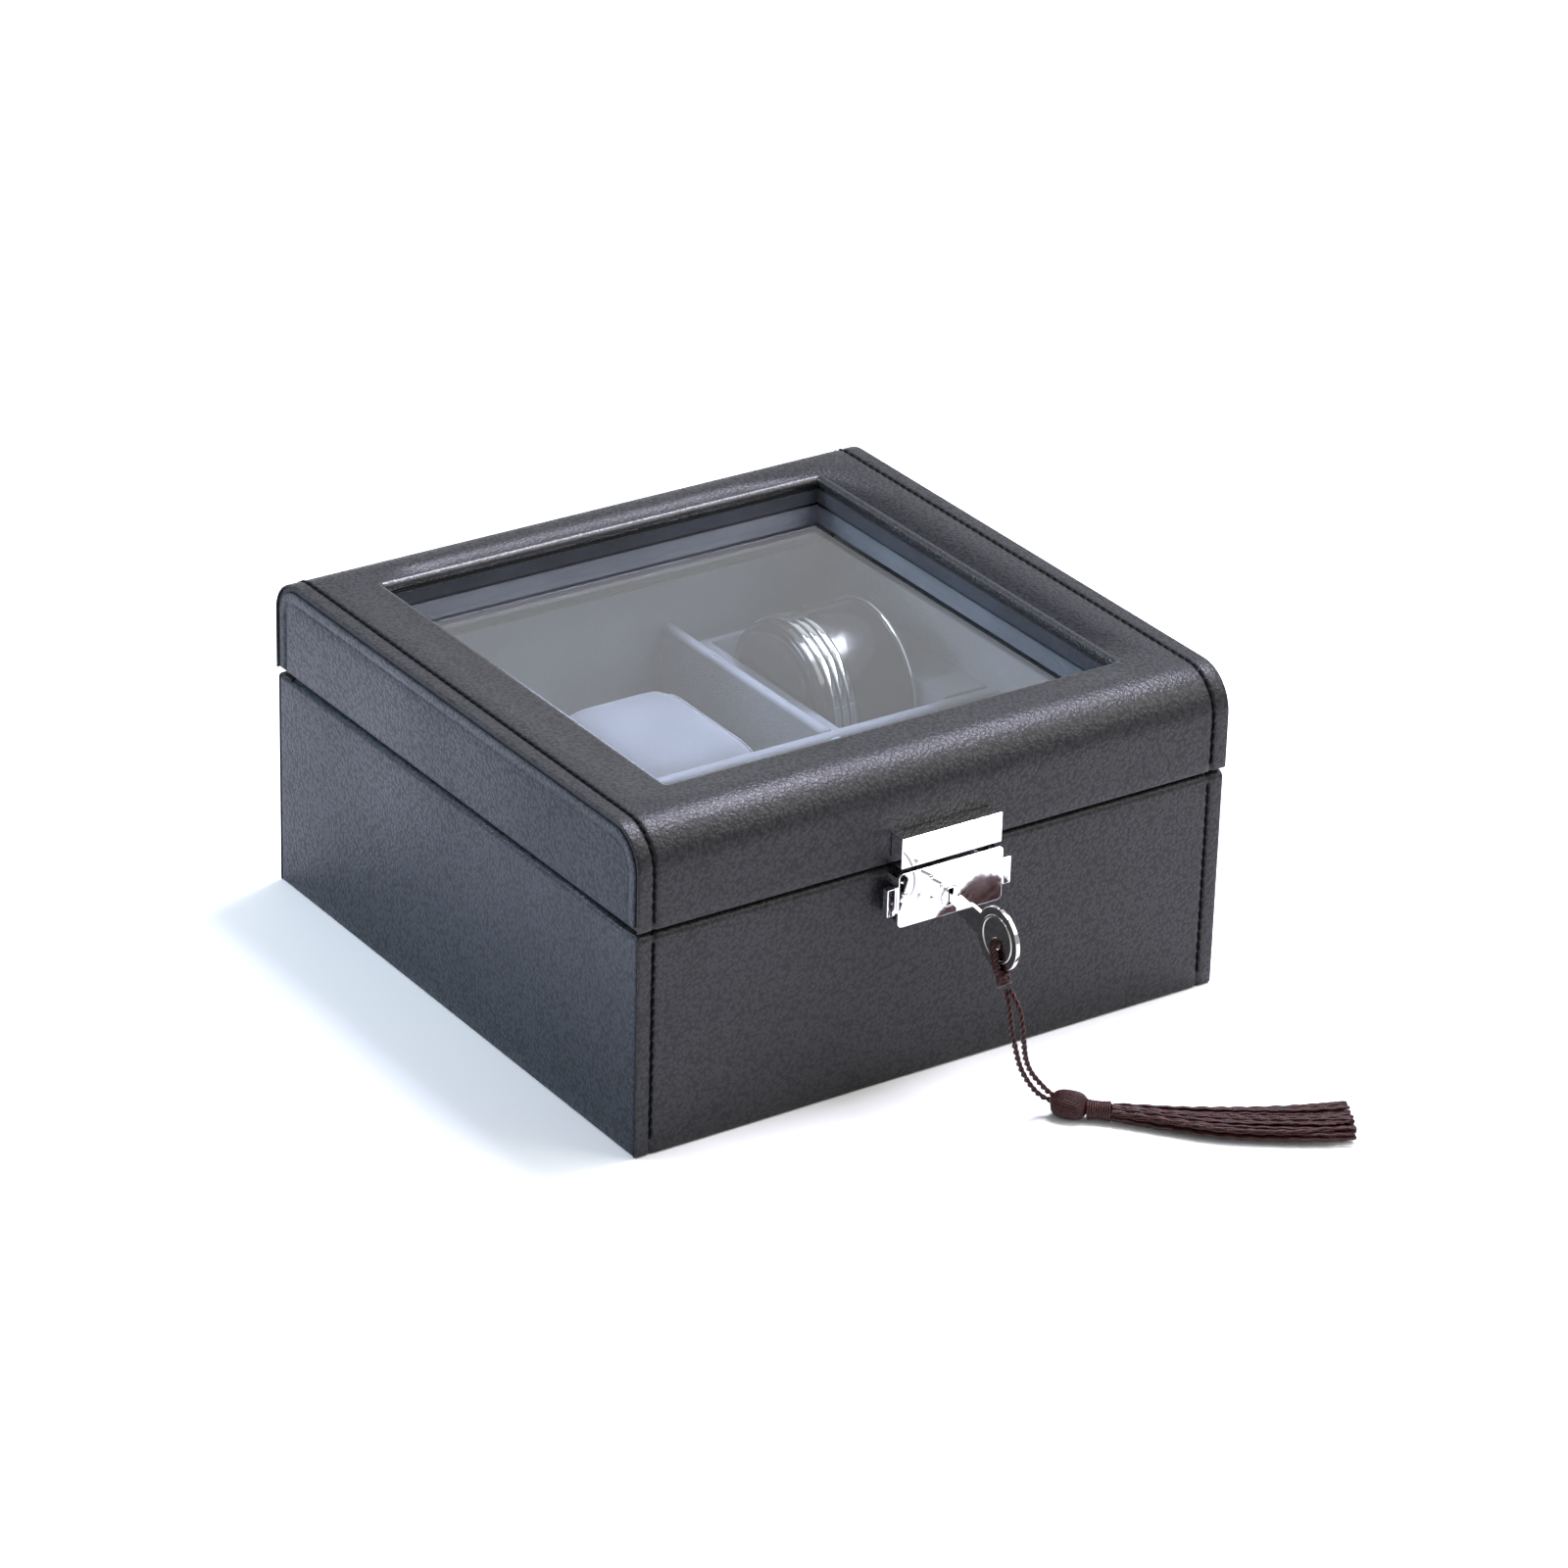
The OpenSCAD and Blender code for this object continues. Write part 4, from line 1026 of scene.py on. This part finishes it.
@dataclass
class Pillows:
    """Five stuffed velvet watch pillows, each with a seam round both of its ends."""

    size: Point = (50.0, 64.0, 42.0)
    voxel: float = 4.5
    frames: int = 20
    swell: float = 5.0
    seam_x: float = 18.5
    nodes: tuple[str, ...] = ("pillow_front_left", "pillow_front_middle", "pillow_front_right",
                              "pillow_back_left", "pillow_back_middle")

    def stuffed(self) -> bpy.types.Mesh:
        """Makes one stuffed pillow round the origin, by a short cloth run.

        Returns:
            Its mesh, in metres.
        """
        bm = bmesh.new()
        bmesh.ops.create_cube(bm, size=1.0)
        bmesh.ops.scale(bm, verts=bm.verts, vec=vec([s - 5 for s in self.size]))
        bmesh.ops.bevel(bm, geom=bm.edges, offset=mm(9), segments=4, profile=0.5,
                        affect="EDGES", clamp_overlap=True, material=-1)
        mesh = bpy.data.meshes.new("pillow_form")
        bm.to_mesh(mesh)
        bm.free()
        obj = bpy.data.objects.new("pillow_form", mesh)
        bpy.context.scene.collection.objects.link(obj)
        remesh = obj.modifiers.new("even", "REMESH")
        remesh.mode, remesh.voxel_size = "VOXEL", mm(self.voxel)
        graph = bpy.context.evaluated_depsgraph_get()
        even = bpy.data.meshes.new_from_object(obj.evaluated_get(graph))
        obj.modifiers.clear()
        obj.data = even
        start = [v.co.copy() for v in even.vertices]
        cloth = obj.modifiers.new("stuffing", "CLOTH")
        cloth.settings.use_pressure = True
        cloth.settings.uniform_pressure_force = 4.0
        cloth.settings.effector_weights.gravity = 0.0
        for frame in range(1, self.frames + 1):
            bpy.context.scene.frame_set(frame)
        graph = bpy.context.evaluated_depsgraph_get()
        blown = bpy.data.meshes.new_from_object(obj.evaluated_get(graph))
        obj.modifiers.clear()
        bpy.context.scene.frame_set(1)
        obj.data = blown
        half = [mm(s / 2 - 0.3) for s in self.size]
        for v, at in zip(obj.data.vertices, start):
            move = v.co - at
            if move.length > mm(self.swell):
                move.length = mm(self.swell)
            spot = at + move
            v.co = [max(-h, min(h, c)) for h, c in zip(half, spot)]
        mesh = obj.data
        bpy.data.objects.remove(obj)
        return mesh

    def seam(self, tree: BVHTree, x: float) -> list[Vector]:
        """Points round the pillow where its end is sewn on.

        Args:
            tree: the pillow's surface.
            x: place of the seam, in millimetres.

        Returns:
            A ring of points, pressed a little into the velvet.
        """
        ring = []
        for k in range(60):
            angle = math.tau * k / 60
            out = Vector((0, math.cos(angle), math.sin(angle)))
            hit = tree.ray_cast(vec((x, 0, 0)) + out * mm(60), -out)[0]
            if hit is not None:
                ring.append(hit - out * mm(0.15))
        return ring

    def build(self, shop: Workshop) -> None:
        """Places a copy of the pillow in each bay."""
        form = self.stuffed()
        bm = bmesh.new()
        bm.from_mesh(form)
        tree = BVHTree.FromBMesh(bm)
        rings = [self.seam(tree, s * self.seam_x) for s in (-1, 1)]
        bm.free()
        for node in self.nodes:
            low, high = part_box(node)
            centre = (low + high) / 2
            mesh = form.copy()
            mesh.transform(Matrix.Translation(centre))
            obj = shop.dressed(mesh, node + "_stuffed", "velvet")
            obj.modifiers.new("smooth", "SUBSURF").levels = 1
            obj.modifiers["smooth"].render_levels = 1
            shop.settle(obj, Body.BASE, node)
            lines = [[p + centre for p in ring] for ring in rings]
            curve = thread_curve(node + "_seams", lines, 0.55, 2, closed=True)
            shop.settle(shop.from_curve(curve, node + "_seams", "velvet"), Body.BASE)


@dataclass
class Bays:
    """The velvet-covered dividers between the bays."""

    edge: float = 1.3

    def build(self, shop: Workshop) -> None:
        """Softens the dividers' edges, where the velvet turns over the board."""
        for node in ("divider_left", "divider_right", "divider_cross"):
            shop.refined(node, "velvet", Body.BASE, self.edge, 3)


@dataclass
class Winder:
    """The winding drum, its velvet block and the drive behind it."""

    drum: Point = (58.0, 44.0, 43.0)
    half: float = 16.0

    def build_hub(self, shop: Workshop) -> None:
        """Makes the stepped hub disc on the drum's left end."""
        bm = bmesh.new()
        rings = ((0.0, 0.0), (5.0, 0.0), (5.6, 0.5), (9.5, 0.5), (10.1, 0.0), (21.0, 0.0),
                 (21.6, 0.5), (24.2, 0.5), (24.8, 0.0), (24.8, -0.6))
        verts = [bm.verts.new(vec((-rise, r, 0))) for r, rise in rings]
        edges = [bm.edges.new(pair) for pair in zip(verts, verts[1:])]
        bmesh.ops.spin(bm, geom=verts + edges, cent=(0, 0, 0), axis=(1, 0, 0),
                       angle=math.tau, steps=64, use_merge=True)
        bmesh.ops.remove_doubles(bm, verts=bm.verts, dist=mm(0.01))
        bmesh.ops.recalc_face_normals(bm, faces=bm.faces)
        if sum(f.normal.x for f in bm.faces) > 0:
            bmesh.ops.reverse_faces(bm, faces=bm.faces)
        x = self.drum[0] - self.half - 0.02
        bmesh.ops.translate(bm, verts=bm.verts, vec=vec((x, self.drum[1], self.drum[2])))
        shop.settle(shop.piece(bm, "drum_hub", "gloss"), Body.DRUM)

    def build(self, shop: Workshop) -> None:
        """Makes and dresses the winder's pieces."""
        self.build_hub(shop)
        shop.refined("winder_housing", "velvet", Body.BASE, 1.0)
        shop.refined("drum_ribs", "chrome", Body.DRUM, 0.6, 3)
        shop.refined("winding_drum", "gloss", Body.DRUM, 0.5, 2)
        shop.dress("plastic", "winder_base_plate", "control_board")
        shop.dress("brass", "drum_gear", "drum_bushes")
        shop.dress("steel", "drive_motor", "motor_pinion")
        shop.refined("power_socket", "plastic", Body.BASE, 0.3)
        shop.refined("switch_knob", "chrome", Body.SWITCH, 0.3)


@dataclass
class Hardware:
    """The lock on the front, the key, and the hinges on the back."""

    def build(self, shop: Workshop) -> None:
        """Softens the edges of the stamped metal and polishes it."""
        shop.refined("lock_plate", "chrome", Body.BASE, 0.22, 3)
        shop.refined("keeper_cover", "chrome", Body.LID, 0.3, 3)
        shop.refined("lock_catch", "chrome", Body.CATCH, 0.35, 3)
        shop.refined("key", "nickel", Body.KEY, 0.2, 2)
        shop.refined("lock_plug", "chrome", Body.PLUG, 0.3, 2)
        shop.refined("hinge_base_leaves", "brass", Body.BASE, 0.2)
        shop.refined("hinge_lid_leaves", "brass", Body.LID, 0.2)
        shop.refined("hinge_pins", "brass", Body.BASE, 0.2)
        shop.refined("hinge_base_screws", "brass", Body.BASE, 0.3)
        shop.refined("hinge_lid_screws", "brass", Body.LID, 0.3)
        shop.dress("steel", "lock_case", "catch_spring", "lock_screws", "keeper_tongue",
                   "keeper_screws")


@dataclass
class Tassel:
    """The key's tassel: knot, two twisted strands, wound head, whipped neck and skirt."""

    left: tuple[Point, ...] = (
        (0.6, -131.2, 40.6), (1, -132.7, 35), (1.8, -133, 28.7), (3, -133.6, 22.5),
        (4.6, -133.8, 16.7), (6.8, -134.2, 12), (9.4, -134.8, 8), (12, -135.6, 5.4),
        (14.6, -137.4, 4.2), (17.3, -140.8, 3.9), (20.8, -144.8, 3.5), (25.6, -149, 3.2),
        (32, -155, 3.1), (39.6, -162, 3.1), (49.8, -170.2, 3.1), (58, -175.8, 3.1))
    right: tuple[Point, ...] = (
        (1.4, -132.1, 40.8), (1.8, -135.8, 37), (2.4, -137, 32), (3.6, -136.6, 25.3),
        (5, -136, 19.6), (7, -135.9, 15), (9.8, -136.4, 11), (12.6, -137.2, 7.6),
        (15, -138.4, 5.8), (17.3, -140.8, 5.7), (20.8, -144.8, 5.3), (25.6, -149, 4.9),
        (32, -155, 4.8), (39.6, -162, 4.8), (49.8, -170.2, 4.8), (58, -175.8, 4.8))
    skirt: tuple[Point, ...] = (
        (26.1, -149.4, 3.2), (32, -155, 3.1), (39.6, -162, 3.1), (49.8, -170.2, 3.1),
        (65.8, -180.6, 3.1), (80.4, -188.2, 3.1))
    widths: tuple[float, ...] = (5.4, 7.5, 10.5, 14.0, 16.5, 18.0)
    heights: tuple[float, ...] = (5.4, 5.8, 6.0, 6.0, 6.0, 6.0)
    strand: float = 1.6
    twist: float = 4.2
    head: Point = (17.3, -140.8, 4.0)
    head_turn: float = -50.0
    head_half: float = 5.4
    head_r: float = 3.9
    neck: Point = (20.7, -144.6, 3.3)
    neck_turn: float = -41.0
    neck_len: float = 6.8
    neck_r: float = 3.0
    threads: int = 150
    thread_r: float = 0.45
    thread_lay: float = 5.6

    def ply(self, points: list[Vector], turn: float, radius: float, pitch: float
            ) -> list[Vector]:
        """One ply that winds round a route.

        Args:
            points: the route, in metres, evenly dense.
            turn: where the ply starts round it, in radians.
            radius: distance from the route, in millimetres.
            pitch: length of a full turn, in millimetres.

        Returns:
            The ply's points.
        """
        out, travelled = [], 0.0
        rings = frames_along(points)
        for i, p in enumerate(points):
            if i:
                travelled += (p - points[i - 1]).length
            angle = turn + math.tau * travelled / mm(pitch)
            _, u, v = rings[i]
            out.append(p + (u * math.cos(angle) + v * math.sin(angle)) * mm(radius))
        return out

    def build_strands(self, shop: Workshop) -> None:
        """Args:
            shop: the workshop.
        """
        for name, route in (("cord_strand_left", self.left), ("cord_strand_right", self.right)):
            dense = smooth_route(list(route), 24)
            lines = [self.ply(dense, turn, self.strand * 0.27, self.twist)
                     for turn in (0.0, math.pi)]
            curve = thread_curve(name, lines, self.strand * 0.26, 2)
            obj = shop.from_curve(curve, name, "cord")
            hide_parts(name.replace("cord_strand", "tassel_cord"))
            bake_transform(obj)

    def placed(self, at: Point, turn: float) -> Matrix:
        """The place of a piece whose own axis is X, on the table."""
        return Matrix.Translation(vec(at)) @ Matrix.Rotation(math.radians(turn), 4, "Z")

    def build_head(self, shop: Workshop) -> bpy.types.Object:
        """Winds threads over the head from end to end.

        Args:
            shop: the workshop.

        Returns:
            The piece.
        """
        place = self.placed(self.head, self.head_turn)
        lines = []
        count = 34
        for k in range(count):
            turn = math.tau * k / count
            line = []
            for i in range(15):
                t = i / 14 * 2 - 1
                radius = self.head_r * max(0.0, 1 - abs(t) ** 3.2) ** 0.5 * 0.93 + 0.15
                angle = turn + 0.22 * t
                line.append(place @ vec((self.head_half * t * 0.97, radius * math.cos(angle),
                                         radius * math.sin(angle))))
            lines.append(line)
        curve = thread_curve("tassel_head_threads", lines, 0.36, 1)
        obj = shop.from_curve(curve, "tassel_head_threads", "cord")
        return shop.settle(obj, Body.BASE, "tassel_head")

    def build_neck(self, shop: Workshop) -> bpy.types.Object:
        """Whips the neck with a wound thread.

        Args:
            shop: the workshop.

        Returns:
            The piece.
        """
        place = self.placed(self.neck, self.neck_turn)
        line = []
        turns, per = 10, 20
        for i in range(turns * per + 1):
            t = i / (turns * per)
            angle = math.tau * turns * t
            radius = self.neck_r - 0.38 - 0.25 * math.sin(math.pi * t)
            line.append(place @ vec((self.neck_len * t, radius * math.cos(angle),
                                     radius * math.sin(angle))))
        curve = thread_curve("tassel_neck_whipping", [line], 0.4, 1)
        obj = shop.from_curve(curve, "tassel_neck_whipping", "cord")
        core = bmesh.new()
        bmesh.ops.create_cone(core, cap_ends=True, segments=24, radius1=mm(2.4),
                              radius2=mm(2.4), depth=mm(self.neck_len - 0.2))
        bmesh.ops.rotate(core, verts=core.verts, matrix=Matrix.Rotation(math.pi / 2, 3, "Y"))
        bmesh.ops.translate(core, verts=core.verts, vec=vec((self.neck_len / 2, 0, 0)))
        bmesh.ops.transform(core, verts=core.verts, matrix=place)
        shop.settle(shop.piece(core, "tassel_neck_core", "cord"), Body.BASE)
        ball = bmesh.new()
        bmesh.ops.create_uvsphere(ball, u_segments=24, v_segments=14, radius=mm(3.35))
        bmesh.ops.scale(ball, verts=ball.verts, vec=(1.42, 1, 1))
        bmesh.ops.transform(ball, verts=ball.verts,
                            matrix=self.placed(self.head, self.head_turn))
        shop.settle(shop.piece(ball, "tassel_head_core", "cord"), Body.BASE)
        return shop.settle(obj, Body.BASE)

    def build_skirt(self, shop: Workshop) -> bpy.types.Object:
        """Lays the skirt's threads, which fan out and lie on the table.

        Args:
            shop: the workshop.

        Returns:
            The piece.
        """
        dice = random.Random(7)
        per = 26
        line = smooth_route(list(self.skirt), per)
        wide = smooth_route([(w, h, 0) for w, h in zip(self.widths, self.heights)], per)
        rings = frames_along(line)
        count = len(line)
        data = thread_curve("tassel_skirt_threads", [], self.thread_r, 0)
        for _ in range(self.threads):
            radius, angle = math.sqrt(dice.random()), dice.uniform(0, math.tau)
            a, b = radius * math.cos(angle), radius * math.sin(angle)
            drift = [dice.uniform(-0.1, 0.1) for _ in range(4)]
            wave = dice.uniform(0, math.tau)
            run = 0.0
            end = count - 1 - dice.choice((0, 1, 2, 3, 5, 8, 12))
            spline = data.splines.new("POLY")
            points = []
            for i in range(count):
                if i > end + 1:
                    break
                ahead, _, _ = rings[i]
                side = Vector((ahead.y, -ahead.x, 0)).normalized()
                t = i / (count - 1)
                sway = (drift[0] * math.sin(3.1 * t + wave) + drift[1] * math.sin(7.3 * t + wave)
                        ) * t * 1.6
                lift = (drift[2] * math.sin(4.4 * t + wave) + drift[3]) * t * 1.2
                x = max(-1.0, min(1.0, a + sway)) * (wide[i].x / 2 - mm(self.thread_r) * 0.6)
                z = max(-1.0, min(1.0, b + lift)) * (wide[i].y / 2 - mm(self.thread_r))
                run += (line[i] - line[max(i - 1, 0)]).length
                turn = wave + math.tau * run / mm(self.thread_lay)
                spot = line[i] + side * (x + mm(0.13) * math.cos(turn))
                spot += Vector((0, 0, z + mm(0.13) * math.sin(turn)))
                spot.z = max(spot.z, mm(self.thread_r + 0.05))
                points.append(spot)
            spline.points.add(len(points) - 1)
            spline.points.foreach_set("co", [c for p in points for c in (*p, 1.0)])
        obj = shop.from_curve(data, "tassel_skirt_threads", "cord")
        return shop.settle(obj, Body.BASE, "tassel_skirt")

    def build_knot(self, shop: Workshop) -> None:
        """Ties the cord through the key's bow: a hitch on both faces and a round knot."""
        turn = (Matrix.Translation(vec((0, -104.2, 58))) @ Matrix.Rotation(math.radians(7), 4, "X")
                @ Matrix.Translation(vec((0, -23.5, -1.5)))
                @ Matrix.Rotation(math.radians(-26), 4, "X"))
        lines = []
        for shift in (-0.85, 0.85):
            route = [(0, shift, 0.4), (1.7, shift, 0.1), (2.0, shift * 0.9, -2.2),
                     (2.0, shift * 0.8, -5), (1.9, shift * 0.7, -7.6), (0.8, shift * 0.5, -9.6),
                     (0, 0, -10.4)]
            for side in (-1, 1):
                path = smooth_route([(side * x, y, z) for x, y, z in route], 12)
                for start in (0.0, math.pi):
                    lines.append([turn @ p for p in self.ply(path, start, 0.36, 2.6)])
        dice = random.Random(3)
        for k in range(7):
            tilt = Matrix.Rotation(dice.uniform(-0.9, 0.9), 4, "X") @ Matrix.Rotation(
                dice.uniform(-0.7, 0.7), 4, "Y")
            ring = []
            for i in range(41):
                angle = math.tau * i / 40 * 1.15
                ring.append(turn @ (vec((0, 0, -10.2 + (k - 3) * 0.45)) + tilt @ vec(
                    (1.75 * math.cos(angle), 1.75 * math.sin(angle), 0.3 * math.sin(2 * angle)))))
            lines.append(ring)
        curve = thread_curve("tassel_hitch", lines, 0.44, 2)
        shop.settle(shop.from_curve(curve, "tassel_hitch", "cord"), Body.KEY, "tassel_knot")

    def build(self, shop: Workshop) -> None:
        """Makes the tassel from the skirt up to the knot."""
        skirt = self.build_skirt(shop)
        head = self.build_head(shop)
        neck = self.build_neck(shop)
        self.build_strands(shop)
        self.build_knot(shop)


# ---------------------------------------------------------------- studio


@dataclass(frozen=True)
class Softbox:
    """A square soft light, placed by its direction from the spot that it is turned to."""

    name: str
    direction: Point
    distance: float
    size: float
    watts: float
    colour: str
    spread: float = 180.0
    spot: Point = (0.0, 0.0, 60.0)

    def build(self) -> None:
        """Hangs the light and turns it to the box."""
        lamp = bpy.data.lights.new(self.name, "AREA")
        lamp.shape, lamp.size = "SQUARE", self.size
        lamp.energy, lamp.color = self.watts, srgb(self.colour)[:3]
        lamp.spread = math.radians(self.spread)
        obj = bpy.data.objects.new(self.name, lamp)
        aim = Vector(self.direction).normalized()
        obj.matrix_world = (Matrix.Translation(aim * self.distance + vec(self.spot))
                            @ aim.to_track_quat("Z", "Y").to_matrix().to_4x4())
        bpy.context.scene.collection.objects.link(obj)


@dataclass(frozen=True)
class Camera:
    """The camera: angles round the box in degrees, target in millimetres, and its lens."""

    azimuth: float = 34.483
    elevation: float = 26.482
    roll: float = 1.607
    target: Point = (8.1, -9.0, 50.0)
    distance: float = 1832.7
    lens: float = 144.59

    def build(self) -> None:
        """Places the camera and makes it the scene's own."""
        az, el, roll = (math.radians(a) for a in (self.azimuth, self.elevation, self.roll))
        back = Vector((-math.sin(az) * math.cos(el), -math.cos(az) * math.cos(el), math.sin(el)))
        right = (-back).cross(Vector((0, 0, 1))).normalized()
        up = right.cross(-back)
        level, tilt = math.cos(roll), math.sin(roll)
        across, over = level * right + tilt * up, level * up - tilt * right
        turn = Matrix((across, over, back)).transposed().to_4x4()
        data = bpy.data.cameras.new("camera")
        data.lens, data.sensor_width, data.clip_end = self.lens, 36.0, 50.0
        obj = bpy.data.objects.new("camera", data)
        obj.matrix_world = Matrix.Translation(vec(self.target) + back * mm(self.distance)) @ turn
        bpy.context.scene.collection.objects.link(obj)
        bpy.context.scene.camera = obj


@dataclass
class Studio:
    """Plain pale floor, an even pale surround and soft lights."""

    lights: tuple[Softbox, ...] = (
        Softbox("overhead_right", (0.36, 0.04, 0.90), 1.1, 0.5, 26.0, "#ECEAFF"),
        Softbox("side_right", (0.54, -0.48, 0.62), 1.3, 0.8, 8.4, "#FFFBF2"),
        Softbox("side_left", (-0.80, 0.42, 0.52), 0.62, 0.25, 0.7, "#CBDCF0", 62.0,
                (-100.0, 45.0, 88.0)),
        Softbox("panel_back", (0.507, 0.738, 0.446), 1.6, 1.5, 2.6, "#F4F6FF"),
    )
    surround: str = "#F4F6F8"
    surround_strength: float = 0.62

    def build(self, shop: Workshop) -> None:
        """Sets the surround, the floor, the lights and plain display colours."""
        world = bpy.data.worlds.new("surround")
        world.use_nodes = True
        shade = world.node_tree.nodes["Background"]
        shade.inputs["Color"].default_value = srgb(self.surround)
        shade.inputs["Strength"].default_value = self.surround_strength
        bpy.context.scene.world = world
        bpy.context.scene.view_settings.view_transform = "Standard"
        bm = bmesh.new()
        bmesh.ops.create_grid(bm, x_segments=1, y_segments=1, size=5.0)
        mesh = bpy.data.meshes.new("tabletop")
        bm.to_mesh(mesh)
        bm.free()
        mesh.materials.append(Table().material())
        floor = bpy.data.objects.new("tabletop", mesh)
        bpy.context.scene.collection.objects.link(floor)
        for light in self.lights:
            light.build()


def main() -> None:
    """Builds the camera, the cords, the box and its surroundings."""
    logging.basicConfig(level=logging.INFO, format="%(name)s: %(message)s")
    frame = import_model()
    shop = Workshop(frame, Finishes())
    Camera().build()
    Tassel().build(shop)
    Base().build(shop)
    Lid().build(shop)
    Hardware().build(shop)
    Bays().build(shop)
    Winder().build(shop)
    Pillows().build(shop)
    Studio().build(shop)


if __name__ == "__main__":
    main()
